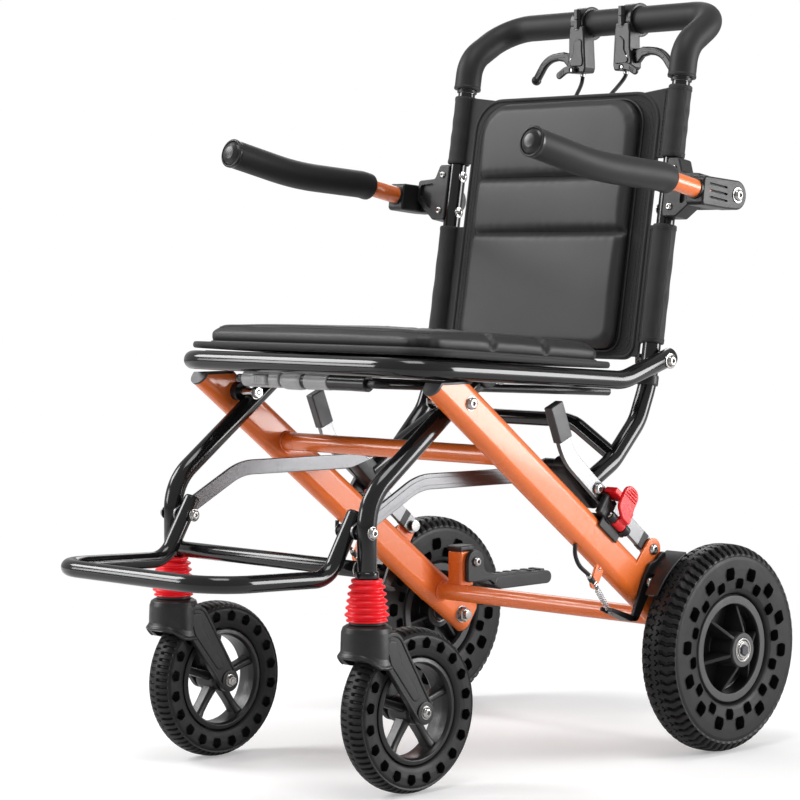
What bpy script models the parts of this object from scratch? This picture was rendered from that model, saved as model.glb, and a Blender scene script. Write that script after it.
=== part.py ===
"""A light folding transit wheelchair: an orange arm frame on two rear wheels, black front legs on two
sprung casters, and a seat and back that fold together over a pair of silver levers."""

import math

import bmesh
import bpy
from mathutils import Matrix, Vector

for old in list(bpy.data.objects):
    bpy.data.objects.remove(old, do_unlink=True)

# Lengths are in millimetres and angles in degrees. X runs to the sitter's left, Y runs back from the
# rear axle and Z up from the floor, so a point in a side view is (y, z).
MM = 0.001
GAP = 0.3
WELD = 0.00001

REAR_AXLE_BEHIND_MIDDLE = 295.75
REAR_WHEEL_D = 250.0
REAR_TYRE_W = 50.0
REAR_WHEEL_X = 244.0
REAR_RIM_D = 129.5
REAR_HUB_OUT = 37.0
CASTER_D = 185.0
CASTER_TYRE_W = 36.0
CASTER_RIM_D = 120.0
CASTER_AXLE = (-449.0, CASTER_D / 2)

ARM_X = 194.5
ARM_W = 24.0
ARM_H = 46.0
ARM_LINE = ((-436.0, 461.0), (-60.0, 176.5), (20.0, 119.5))
ARM_TRIM_Z = 455.5
REAR_AXLE = (0.0, REAR_WHEEL_D / 2)

LEG_X = 162.2
LEG_TUBE_D = 22.0
LEG_Y = -512.0
LEG_FOOT_Z = 244.0
FORK_TOP_Z = 194.0
SEAT_X = 201.5
BACK_X = 178.5
TUBE_D = 22.0
LEVER_X = 199.0
LATCH_X = 212.0
SADDLE_Y = -172.4
LINK_X = 148.6
FOOTREST_X = 136.5
FOOTREST_TUBE_D = 19.0

# The pivots of the folding linkage
LEG_PIVOT = (-394.0, 432.0)
SEAT_PIVOT = (-330.0, 460.0)
BACK_PIVOT = (-55.0, 470.0)
LEVER_PIVOT = (-78.0, 246.0)
LEVER_TIP = (-175.0, 324.0)
LINK_REAR = (-205.0, 350.0)
FOOT_PIVOT = (-514.0, 294.0)

PIN_D = 8.0
PIN_BORE_D = 9.4
CROSS_TUBE_D = 16.0

BRAKE_PIVOT = (-92.0, 208.0)
CABLE_STOP = (-178.0, 213.0)
CABLE_PULL = Vector((27.0, -33.0)).normalized()
SPRING_FOOT = (-151.0, 180.0)
TIP_PEDAL_PIVOT = (-17.0, 199.0)
TIP_POST_X = -160.0

BACK_FOOT = (-57.5, 440.0)
BACK_TOP = (3.8, 805.0)
HANDLE_TOP = (82.0, 892.0)
HANDLE_FOAM_D = 34.0

ARMREST_X = 249.0
ARMREST_PIVOT = (8.0, 667.0)
BRAKE_BODY_X = 40.0
CABLE_D = 5.0

ORANGE = (0.83, 0.16, 0.028)
GLOSS_BLACK = (0.012, 0.012, 0.013)
MATT_BLACK = (0.022, 0.022, 0.024)
RUBBER = (0.030, 0.030, 0.032)
RED = (0.80, 0.02, 0.03)
SILVER = (0.62, 0.63, 0.64)
GREY = (0.20, 0.21, 0.22)
LEATHER = (0.018, 0.018, 0.019)

parts = bpy.data.collections.new("folding_wheelchair")
cutters = bpy.data.collections.new("cutters")
bpy.context.scene.collection.children.link(parts)
bpy.context.scene.collection.children.link(cutters)

# Side view: local x runs back, local y up, local z to the sitter's left
SIDE = Matrix(((0, 0, 1), (1, 0, 0), (0, 1, 0)))
# Front view: local x runs left, local y up, local z forward
FRONT = Matrix(((1, 0, 0), (0, 0, -1), (0, 1, 0)))
UPRIGHT = Matrix.Identity(3)


def frame(turn=UPRIGHT, origin=(0, 0, 0)):
    return Matrix.Translation(Vector(origin) * MM) @ turn.to_4x4()


def at(x, side_point):
    """The point at x with this place in the side view."""
    return Vector((x, side_point[0], side_point[1]))


def add_object(name, data, placed):
    obj = bpy.data.objects.new(name, data)
    obj.matrix_world = placed
    parts.objects.link(obj)
    return obj


def as_mesh(curve_object):
    """Turns a curve into a mesh, with its end caps welded on."""
    name = curve_object.name
    placed = curve_object.matrix_world.copy()
    depsgraph = bpy.context.evaluated_depsgraph_get()
    mesh = bpy.data.meshes.new_from_object(curve_object.evaluated_get(depsgraph))
    form = bmesh.new()
    form.from_mesh(mesh)
    bmesh.ops.remove_doubles(form, verts=form.verts, dist=WELD)
    bmesh.ops.recalc_face_normals(form, faces=form.faces)
    form.to_mesh(mesh)
    form.free()
    bpy.data.objects.remove(curve_object)
    return add_object(name, mesh, placed)


def poly_curve(name, points, placed, closed=False, flat=False):
    data = bpy.data.curves.new(name, "CURVE")
    data.dimensions = "2D" if flat else "3D"
    spline = data.splines.new("POLY")
    spline.points.add(len(points) - 1)
    for point, place in zip(spline.points, points):
        point.co = (*(Vector(place).to_3d() * MM), 1)
    spline.use_cyclic_u = closed
    return add_object(name, data, placed)


def tube(name, points, diameter, sides=8, closed=False):
    """A round bar along these points."""
    bar = poly_curve(name, points, frame(), closed)
    bar.data.bevel_depth = diameter / 2 * MM
    bar.data.bevel_resolution = (sides - 4) // 2
    bar.data.use_fill_caps = True
    return as_mesh(bar)


def plate(name, outline, thickness, placed):
    """A flat piece of this outline, its thickness shared by both sides of its plane."""
    sheet = poly_curve(name, outline, placed, closed=True, flat=True)
    sheet.data.fill_mode = "BOTH"
    sheet.data.extrude = thickness / 2 * MM
    return as_mesh(sheet)


def side_plate(name, outline, inner_x, outer_x):
    """A plate drawn in the side view between two distances from the middle of the chair."""
    return plate(name, outline, abs(outer_x - inner_x), frame(SIDE, ((inner_x + outer_x) / 2, 0, 0)))


def turned(name, profile, placed, steps, closed=True):
    """A turned piece: profile points are (radius, height), down the outer side first."""
    mesh = bpy.data.meshes.new(name)
    edges = [(i, i + 1) for i in range(len(profile) - 1)]
    if closed:
        edges.append((len(profile) - 1, 0))
    mesh.from_pydata([(radius * MM, 0, height * MM) for radius, height in profile], edges, [])
    obj = add_object(name, mesh, placed)
    spin = obj.modifiers.new("turn", "SCREW")
    spin.steps = steps
    spin.render_steps = steps
    spin.use_merge_vertices = True
    spin.merge_threshold = WELD
    return obj


def cylinder(name, diameter, start, end, sides=8):
    start = Vector(start)
    end = Vector(end)
    form = bmesh.new()
    bmesh.ops.create_cone(form, cap_ends=True, segments=sides, radius1=diameter / 2 * MM,
                          radius2=diameter / 2 * MM, depth=(end - start).length * MM)
    mesh = bpy.data.meshes.new(name)
    form.to_mesh(mesh)
    form.free()
    turn = (end - start).to_track_quat("Z", "X").to_matrix()
    return add_object(name, mesh, frame(turn, (start + end) / 2))


def pin(name, diameter, side_point, from_x, to_x, sides=8):
    """A round bar across the chair."""
    return cylinder(name, diameter, at(from_x, side_point), at(to_x, side_point), sides)


def block(name, size, center, turn=UPRIGHT, rounding=0.0):
    form = bmesh.new()
    bmesh.ops.create_cube(form, size=1.0, matrix=Matrix.Diagonal((*(Vector(size) * MM), 1)))
    mesh = bpy.data.meshes.new(name)
    form.to_mesh(mesh)
    form.free()
    obj = add_object(name, mesh, frame(turn, center))
    if rounding:
        bevel = obj.modifiers.new("rounding", "BEVEL")
        bevel.width = rounding * MM
        bevel.segments = 1
        bevel.limit_method = "ANGLE"
    return obj


def combine(target, tool, operation):
    modifier = target.modifiers.new(tool.name, "BOOLEAN")
    modifier.operation = operation
    modifier.object = tool
    tool.hide_render = True
    tool.display_type = "WIRE"
    if tool.name not in cutters.objects:
        parts.objects.unlink(tool)
        cutters.objects.link(tool)
    return target


def join(target, *others):
    for other in others:
        combine(target, other, "UNION")
    return target


def cut(target, *others):
    for other in others:
        combine(target, other, "DIFFERENCE")
    return target


def keep_inside(target, other):
    return combine(target, other, "INTERSECT")


def mirrored(source, name):
    """The same piece for the other side of the chair."""
    depsgraph = bpy.context.evaluated_depsgraph_get()
    mesh = bpy.data.meshes.new_from_object(source.evaluated_get(depsgraph))
    mesh.transform(Matrix.Scale(-1, 4, (1, 0, 0)) @ source.matrix_world)
    mesh.flip_normals()
    return add_object(name, mesh, frame())


def finish(obj, colour, pivot=None, roughness=0.4, metallic=0.0):
    """Gives a piece its material, and its origin on its joint's axis."""
    material = bpy.data.materials.new(obj.name)
    material.use_nodes = True
    shader = material.node_tree.nodes["Principled BSDF"]
    shader.inputs["Base Color"].default_value = (*colour, 1)
    shader.inputs["Roughness"].default_value = roughness
    shader.inputs["Metallic"].default_value = metallic
    obj.data.materials.clear()
    obj.data.materials.append(material)
    if pivot is not None:
        goal = frame(obj.matrix_world.to_quaternion().to_matrix(), pivot)
        obj.data.transform(goal.inverted() @ obj.matrix_world)
        obj.matrix_world = goal
    return obj


def finish_pair(left, colour, pivot=None, roughness=0.4, metallic=0.0):
    """Finishes a left-hand piece and makes its right-hand twin."""
    right = mirrored(left, left.name.replace("left", "right"))
    right_pivot = None if pivot is None else (-pivot[0], pivot[1], pivot[2])
    finish(left, colour, pivot, roughness, metallic)
    finish(right, colour, right_pivot, roughness, metallic)


def arc(center, radius, start, end, steps):
    """Points round a centre in a plane, counter-clockwise from start to end."""
    angles = [math.radians(start + (end - start) * i / steps) for i in range(steps + 1)]
    return [(center[0] + radius * math.cos(a), center[1] + radius * math.sin(a)) for a in angles]


def strap(first, second, first_r, second_r, steps=4):
    """The outline round two circles."""
    along = Vector(second) - Vector(first)
    heading = math.degrees(math.atan2(along.y, along.x))
    spread = math.degrees(math.acos((first_r - second_r) / along.length))
    return (arc(first, first_r, heading + spread, heading + 360 - spread, steps)
            + arc(second, second_r, heading - spread, heading + spread, steps))


def rounded(points, radii, steps=4):
    """The points with each inner corner turned into an arc of its radius."""
    points = [Vector(p).to_3d() for p in points]
    path = [points[0]]
    for before, corner, after, radius in zip(points, points[1:], points[2:], radii):
        back = (before - corner).normalized()
        ahead = (after - corner).normalized()
        half = back.angle(ahead) / 2
        middle = (back + ahead).normalized()
        center = corner + middle * radius / math.sin(half)
        first = corner + back * radius / math.tan(half) - center
        last = corner + ahead * radius / math.tan(half) - center
        sweep = first.angle(last)
        for i in range(steps + 1):
            share = i / steps
            path.append(center + (first * math.sin((1 - share) * sweep)
                                  + last * math.sin(share * sweep)) / math.sin(sweep))
    path.append(points[-1])
    return path


def ribbon(points, width):
    """The outline of a flat bar of this width along a side-view path, with round ends."""
    path = [Vector(p).to_2d() for p in points]
    headings = [(b - a).normalized() for a, b in zip(path, path[1:])]
    left = []
    right = []
    for i in range(1, len(path) - 1):
        across = (headings[i - 1] + headings[i]).normalized()
        normal = Vector((-across.y, across.x))
        stretch = width / 2 / max(normal.dot(Vector((-headings[i].y, headings[i].x))), 0.5)
        left.append(path[i] + normal * stretch)
        right.append(path[i] - normal * stretch)
    start = math.degrees(math.atan2(headings[0].y, headings[0].x))
    finish_angle = math.degrees(math.atan2(headings[-1].y, headings[-1].x))
    head = arc(path[0], width / 2, start + 90, start + 270, 4)
    tail = arc(path[-1], width / 2, finish_angle - 90, finish_angle + 90, 4)
    return head + right + tail + left[::-1]


def arm_frame(distance_back):
    """Where the arm's axis is at this y, and the directions down its length and square above it."""
    top, bend = Vector(ARM_LINE[0]), Vector(ARM_LINE[1])
    down = (bend - top).normalized()
    share = (distance_back - top.x) / (bend.x - top.x)
    return top.lerp(bend, share), down, Vector((-down.y, down.x))


def make_arms():
    """The orange side arms: flat-oval tube with the lever lug, cable stop, axle and pivot bolts."""
    section = arc((0, ARM_H / 2 - ARM_W / 2), ARM_W / 2, 0, 180, 4)
    section += arc((0, ARM_W / 2 - ARM_H / 2), ARM_W / 2, 180, 360, 4)
    profile = poly_curve("arm_section", section, frame(), closed=True, flat=True)
    route = poly_curve("arm_left", [at(ARM_X, p) for p in ARM_LINE], frame())
    route.data.bevel_mode = "OBJECT"
    route.data.bevel_object = profile
    route.data.use_fill_caps = True
    route.data.twist_mode = "Z_UP"
    arm = as_mesh(route)
    bpy.data.objects.remove(profile)
    outer = ARM_X + ARM_W / 2
    inner = ARM_X - ARM_W / 2
    cut(arm, block("arm_trim", (60, 200, 60), (ARM_X, ARM_LINE[0][0], ARM_TRIM_Z + 30)))
    root, down, up = arm_frame(LEVER_PIVOT[0])
    lug_root = Vector(LEVER_PIVOT) - 42 * up
    stop = Vector(CABLE_STOP)
    join(
        arm,
        side_plate("lever_lug", strap(LEVER_PIVOT, lug_root, 13.5, 17), 202.7, 206.3),
        side_plate("cable_stop", strap(CABLE_STOP, (-160, 246), 6, 9), 197.4, 200.8),
        cylinder("cable_adjuster", 8, at(LEVER_X, stop - 10.2 * CABLE_PULL), at(LEVER_X, stop + 8.2 * CABLE_PULL), 6),
        pin("lever_pin", PIN_D, LEVER_PIVOT, 192, 205),
        pin("lever_pin_head", 14, LEVER_PIVOT, 190, 195.5, 6),
        pin("lever_bolt_head", 13, LEVER_PIVOT, 206, 210, 6),
        pin("leg_pivot_pin", 10, LEG_PIVOT, 146.6, 190),
        pin("leg_pivot_nut", 16, LEG_PIVOT, 142, 147.4, 6),
        pin("leg_pivot_spacer", 22, LEG_PIVOT, LEG_X + LEG_TUBE_D / 2 + 0.4, 190),
        pin("leg_pivot_head", 16, LEG_PIVOT, outer - 1, outer + 5, 6),
        pin("axle_spacer", 20, REAR_AXLE, outer - 1, REAR_WHEEL_X - 22),
        pin("axle", 12, REAR_AXLE, inner - 13, REAR_WHEEL_X + REAR_HUB_OUT + 1.5),
        pin("axle_nut", 20, REAR_AXLE, inner - 8, inner + 1, 6),
        pin("axle_cap", 19, REAR_AXLE, REAR_WHEEL_X + REAR_HUB_OUT + 0.4, REAR_WHEEL_X + REAR_HUB_OUT + 2.8),
        pin("brake_pin", PIN_D, BRAKE_PIVOT, outer - 1, 216),
        pin("brake_pin_head", 14, BRAKE_PIVOT, 213.3, 218, 6),
    )
    finish_pair(arm, ORANGE, roughness=0.25)


def make_cross_tubes():
    """The orange tubes between the arms, and the post that carries the tip pedal."""
    reach = ARM_X - ARM_W / 2 - GAP
    upper = pin("cross_tube_upper", 22, (-312, 368), -reach, reach, 12)
    finish(upper, ORANGE, roughness=0.25)
    lower = pin("cross_tube_lower", 22, (-37, 159), -reach, reach, 12)
    post = block("tip_post", (24, 25, 46), (TIP_POST_X, -26, 190), rounding=3)
    cap = block("tip_post_cap", (24.6, 27, 8), (TIP_POST_X, -26, 216), rounding=2.5)
    bolt = pin("tip_bolt", PIN_D, TIP_PEDAL_PIVOT, TIP_POST_X, TIP_POST_X + 21.6)
    head = pin("tip_bolt_head", 13, TIP_PEDAL_PIVOT, TIP_POST_X + 19.6, TIP_POST_X + 24, 6)
    join(lower, post, cap, bolt, head)
    finish(lower, ORANGE, roughness=0.25)


def make_tip_pedal():
    """The black foot pedal bolted to the post, for tipping the chair back over a kerb."""
    inner = TIP_POST_X + 12.5 + GAP
    outline = arc(TIP_PEDAL_PIVOT, 15, 0, 180, 6)
    outline += [(-32, 172.5), (10, 172.5), (24, 163.5), (90, 160.5), (90, 178), (20, 179.5), (2, 185), (-2, 192)]
    cheek = side_plate("tip_pedal", outline, inner, inner + 6.5)
    tread = side_plate("pedal_tread", [(16, 166), (30, 159)] + arc((121, 167.6), 8.6, -90, 90, 5)
                       + [(24, 177)], TIP_POST_X - 13, inner + 6.9)
    join(cheek, tread)
    for i in range(5):
        groove_y = 42 + 17 * i
        cut(cheek, block("tread_groove", (24, 5, 5), (TIP_POST_X + 1.2, groove_y, 177.5)))
    cut(cheek, pin("pedal_bore", PIN_BORE_D, TIP_PEDAL_PIVOT, inner - 5, inner + 12))
    finish(cheek, MATT_BLACK, at(TIP_POST_X, TIP_PEDAL_PIVOT), roughness=0.6)


def make_rear_wheels():
    """Rims with six ribs, and solid tyres with two staggered rows of holes right through."""
    hub = frame(SIDE, at(REAR_WHEEL_X, REAR_AXLE))
    rim_r = REAR_RIM_D / 2
    profile = [(rim_r, 20), (rim_r, -20), (55, -20), (53, -4), (21.5, -4), (21.5, -21.5),
               (6.6, -21.5), (6.6, REAR_HUB_OUT), (21.2, REAR_HUB_OUT), (21.8, 3), (53, 3), (55, 20)]
    rim = turned("rear_rim_left", profile, hub, 16)
    # The ribs climb from the rim's lip to the face of the boss
    rib_line = [(20, -14), (20, REAR_HUB_OUT - 2), (25, REAR_HUB_OUT - 4), (54.5, 17), (54.5, -14)]
    for i in range(6):
        turn = SIDE @ Matrix.Rotation(math.radians(60 * i + 15), 3, "Z")
        join(rim, plate("rim_rib", rib_line, 5, frame(turn @ FRONT, at(REAR_WHEEL_X, REAR_AXLE))))
    finish_pair(rim, MATT_BLACK, at(REAR_WHEEL_X, REAR_AXLE), roughness=0.5)

    r = REAR_WHEEL_D / 2
    w = REAR_TYRE_W / 2
    bead = rim_r + 3 * GAP
    profile = [(r, 14), (r, -14), (r - 8, -w), (bead + 2, -w), (bead, -w + 4), (bead, w - 4), (bead + 2, w),
               (r - 8, w)]
    tyre = turned("rear_tyre_left", profile, hub, 24)
    hole = [(-7.5, 0), (-5.2, -6.8), (5.2, -6.8), (7.5, 0), (5.2, 6.8), (-5.2, 6.8)]
    rows = ((78.5, 0, 0.9), (91, 0.5, 1.06))
    for row_r, stagger, size in rows:
        outline = [(x * size, y * size) for x, y in hole]
        for i in range(14):
            angle = 360 / 14 * (i + stagger + 0.25)
            turn = SIDE @ Matrix.Rotation(math.radians(angle - 90), 3, "Z")
            center = at(REAR_WHEEL_X, REAR_AXLE) + turn @ Vector((0, row_r, 0))
            cut(tyre, plate("tyre_hole", outline, REAR_TYRE_W + 10, frame(turn, center)))
    finish_pair(tyre, RUBBER, at(REAR_WHEEL_X, REAR_AXLE), roughness=0.75)


def make_brakes():
    """The bent brake arms with their shoes over the tread, and the return springs on the cables."""
    pivot = Vector(BRAKE_PIVOT)
    outer = ARM_X + ARM_W / 2 + GAP
    cheek_outline = [(-124, 164), (-112, 164), (-84, 204), (-72, 224), (-60, 240), (-66, 244), (-78, 234),
                     (-90, 230), (-101, 214)]
    arm = side_plate("brake_arm_left", cheek_outline, outer, outer + 5.5)
    r = REAR_WHEEL_D / 2
    shoe = arc(REAR_AXLE, r + 7, 115, 134, 4) + arc(REAR_AXLE, r + 2.6, 134, 115, 4)
    foot = [(-124, 164), (-112, 164), (-116, 170), (-158, 184), (-160, 179)]
    join(arm, side_plate("brake_shoe", shoe, outer, 258))
    join(arm, side_plate("brake_foot", foot, 192, outer + 5.5))
    slot_end = Vector(SPRING_FOOT)
    slot_turn = SIDE @ Matrix.Rotation(math.radians(-18.4), 3, "Z")
    cut(arm, block("spring_slot", (20, 40, 9.4), at(LEVER_X, slot_end + Vector((-6, 0))), slot_turn))
    cut(arm, pin("brake_bore", PIN_BORE_D, pivot, outer - 5, outer + 12))
    finish_pair(arm, GLOSS_BLACK, at(outer, BRAKE_PIVOT), roughness=0.35)

    # Return spring, wound from the cable stop down to the brake arm's foot
    wire = 1.1
    coil_r = 3.5 - wire / 2
    turns = 6
    points_per_turn = 6
    top = Vector(CABLE_STOP) + 8.6 * CABLE_PULL
    bottom = Vector(SPRING_FOOT)
    axis = bottom - top
    length = axis.length
    turn = SIDE @ Matrix.Rotation(math.atan2(axis.y, axis.x) - math.pi / 2, 3, "Z")
    lead = wire
    rise = (length - 2 * lead) / turns
    coil = [Vector((coil_r, 0, 0))]
    for i in range(turns * points_per_turn + 1):
        angle = 2 * math.pi * i / points_per_turn
        height = lead + rise * i / points_per_turn
        coil.append(Vector((coil_r * math.cos(angle), height, coil_r * math.sin(angle))))
    coil.append(coil[-1] + Vector((0, lead, 0)))
    print("brake spring: least gap between turns", round(rise - wire, 2), "mm")
    start = at(LEVER_X, top)
    spring = tube("brake_spring_left", [start + turn @ p for p in coil], wire, sides=6)
    finish_pair(spring, SILVER, roughness=0.3, metallic=1.0)


def make_saddles():
    """The black saddles clamped over the arms, with the barrels that carry the red latches."""
    root, down, up = arm_frame(SADDLE_Y)
    turn = Matrix(((0, 0, 1), (down.x, up.x, 0), (down.y, up.y, 0)))
    middle = at(0, root)

    def spot(s, n, x):
        return middle + Vector((x, down.x * s + up.x * n, down.y * s + up.y * n))

    half = ARM_W / 2 + GAP
    top = ARM_H / 2 + GAP
    hinge_n = top + 6.6
    saddle = block("saddle_left", (41, 5, 28.2), spot(1, top + 2.5, ARM_X + 0.6), turn, rounding=1.5)
    outer_skirt = block("outer_skirt", (39, 15, 3.2), spot(0, top - 4.5, ARM_X + half + 1.6), turn)
    inner_skirt = block("inner_skirt", (39, 15, 1.4), spot(0, top - 4.5, ARM_X - half - 0.7), turn)
    housing = block("hinge_housing", (22, 26, 8.2), spot(-19.5, top + 13, 207.4), turn, rounding=1.5)
    join(saddle, outer_skirt, inner_skirt, housing)
    for s in (-9.4, 19.4):
        join(saddle, cylinder("hinge_barrel", 13, spot(s - 5, hinge_n, LATCH_X), spot(s + 5, hinge_n, LATCH_X)))
    cut(saddle, block("latch_room", (18, 14.4, 16), spot(5, hinge_n, LATCH_X), turn))
    join(saddle, cylinder("latch_pin", 5, spot(-11, hinge_n, LATCH_X), spot(21, hinge_n, LATCH_X), 8))
    finish_pair(saddle, MATT_BLACK, roughness=0.5)

    # The latch is drawn across the arm: x outwards from the pin, y square above the arm
    across = Matrix(((1, 0, 0), (0, up.x, -down.x), (0, up.y, -down.y)))
    pivot = spot(5, hinge_n, LATCH_X)
    body = arc((0, 0), 6.2, 150, 350, 8)
    latch = plate("latch_left", body + [(11.4, 3), (11.4, 16), (7.4, 16)], 17.2, frame(across, pivot))
    # Its pad stands square above the arm, with a round top and ribs for the thumb
    face = Matrix(((0, 0, 1), (down.x, up.x, 0), (down.y, up.y, 0)))
    outline = [(-13.4, 3), (13.4, 3)] + arc((3.4, 33), 10, 0, 90, 3) + arc((-3.4, 33), 10, 90, 180, 3)
    pad = plate("latch_pad", outline, 4.4, frame(face, spot(-5, hinge_n, LATCH_X + 9.4)))
    hook_x = LEVER_X + 3 + GAP + 0.4 - LATCH_X
    hook = plate("latch_hook", [(hook_x, 21.4), (9, 21.4), (9, 28), (hook_x + 1.5, 28)], 22,
                 frame(across, spot(-19.4, hinge_n, LATCH_X)))
    join(latch, pad, hook)
    for i in range(4):
        rib = block("latch_rib", (20 - 2.4 * max(0, i - 1), 1.4, 1.6), spot(-5, hinge_n + 29.5 + 3.4 * i, LATCH_X + 12),
                    turn)
        join(latch, rib)
    cut(latch, cylinder("latch_bore", 6.2, spot(-30, hinge_n, LATCH_X), spot(30, hinge_n, LATCH_X), 8))
    finish_pair(latch, RED, pivot, roughness=0.35)


def make_levers():
    """The silver fold levers with their black pads."""
    route = rounded([LEVER_PIVOT, LEVER_TIP, (-224.4, 364), (-245.2, 414.6)], (300, 60), steps=3)
    lever = side_plate("lever_left", ribbon(route, 20), LEVER_X - 3, LEVER_X + 3)
    pad_turn = SIDE @ Matrix.Rotation(math.atan2(41.5, -17), 3, "Z")
    pad = block("lever_pad", (45, 22, 12), at(LEVER_X, (-241, 404.5)), pad_turn, rounding=2)
    bolt = pin("lever_tip_bolt", 15, LEVER_TIP, LEVER_X, LEVER_X + 8, 6)
    join(lever, pad, bolt)
    cut(lever, pin("lever_bore", PIN_BORE_D, LEVER_PIVOT, LEVER_X - 9, LEVER_X + 9))
    finish_pair(lever, SILVER, at(LEVER_X, LEVER_PIVOT), roughness=0.2, metallic=1.0)


def make_leg_frame():
    """Both bent front legs, welded to the cross tube low between them, with all their pins."""
    clamp_edge = Vector(SEAT_PIVOT).lerp(Vector(LEG_PIVOT), 0.16)
    route = rounded([clamp_edge, (LEG_Y, 329), (LEG_Y, LEG_FOOT_Z)], (60,), steps=4)
    legs = tube("leg_frame", [at(LEG_X, p) for p in route], LEG_TUBE_D)
    other = tube("other_leg", [at(-LEG_X, p) for p in route], LEG_TUBE_D)
    cross = pin("leg_cross_tube", 18, (LEG_Y, 253), -LEG_X, LEG_X)
    join(legs, other, cross)
    for s in (1, -1):
        clamp = side_plate("seat_clamp", arc(SEAT_PIVOT, 15, -160, -20, 5), s * (LEG_X - 13), s * (LEG_X + 13))
        foot_pin = pin("footrest_pin", PIN_D, FOOT_PIVOT, s * 122, s * LEG_X)
        inner_nut = pin("footrest_nut", 14, FOOT_PIVOT, s * 121, s * 126.3, 6)
        outer_head = pin("footrest_head", 14, FOOT_PIVOT, s * (LEG_X + 9), s * (LEG_X + 15), 6)
        join(legs, clamp, foot_pin, inner_nut, outer_head)
        cut(legs, pin("leg_bore", 12, LEG_PIVOT, s * (LEG_X - 20), s * (LEG_X + 20)))
        seat_bore = pin("seat_bore", CROSS_TUBE_D + 1.6, SEAT_PIVOT, s * (LEG_X - 20), s * (LEG_X + 20), 8)
        opening = side_plate("clamp_opening", clamp_mouth(), s * (LEG_X - 20), s * (LEG_X + 20))
        stem_bore = cylinder("stem_bore", 15.4, (s * LEG_X, LEG_Y, LEG_FOOT_Z - 5), (s * LEG_X, LEG_Y, 300), 8)
        cut(legs, seat_bore, opening, stem_bore)
    finish(legs, GLOSS_BLACK, at(0, LEG_PIVOT), roughness=0.12)


def clamp_mouth():
    """The open upper side of the legs' clamps, where the seat's cross tube drops in."""
    heading = math.radians(110)
    out = Vector((math.cos(heading), math.sin(heading)))
    wide = Vector((-out.y, out.x))
    start = Vector(SEAT_PIVOT)
    return [start - 24 * wide, start + 24 * wide, start + 24 * wide + 30 * out, start - 24 * wide + 30 * out]


def make_suspension():
    """Red bellows, and the stems inside them that the forks turn on."""
    top_r = 18.5
    bottom_r = 24.0
    top_z = LEG_FOOT_Z - GAP
    bottom_z = FORK_TOP_Z + 3.6
    ribs = 5
    crest = []
    for i in range(ribs):
        share = (i + 0.5) / ribs
        z = top_z - 5 + (bottom_z + 3 - top_z + 5) * share
        r = top_r + (bottom_r - top_r) * share
        crest += [(r - 4.2 + share, z + 4.0), (r + 1.5, z)]
    outer = [(top_r - 1, top_z), (top_r - 1, top_z - 4)] + crest + [(bottom_r - 3, bottom_z + 4),
                                                                   (bottom_r - 1, bottom_z)]
    bore = [(13.5, bottom_z), (11.8, top_z - 8), (11.8, top_z)]
    bellows = turned("bellows_left", outer + bore, frame(origin=(LEG_X, LEG_Y, 0)), 10)
    finish_pair(bellows, RED, roughness=0.5)

    flange = [(7, 286), (7, FORK_TOP_Z + 3.3), (20, FORK_TOP_Z + 3.3), (20, FORK_TOP_Z + GAP),
              (7, FORK_TOP_Z + GAP), (7, 176)]
    stem = turned("stem_left", [(0, 286)] + flange + [(0, 176)], frame(origin=(LEG_X, LEG_Y, 0)), 8,
                  closed=False)
    finish_pair(stem, SILVER, roughness=0.25, metallic=1.0)


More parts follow.
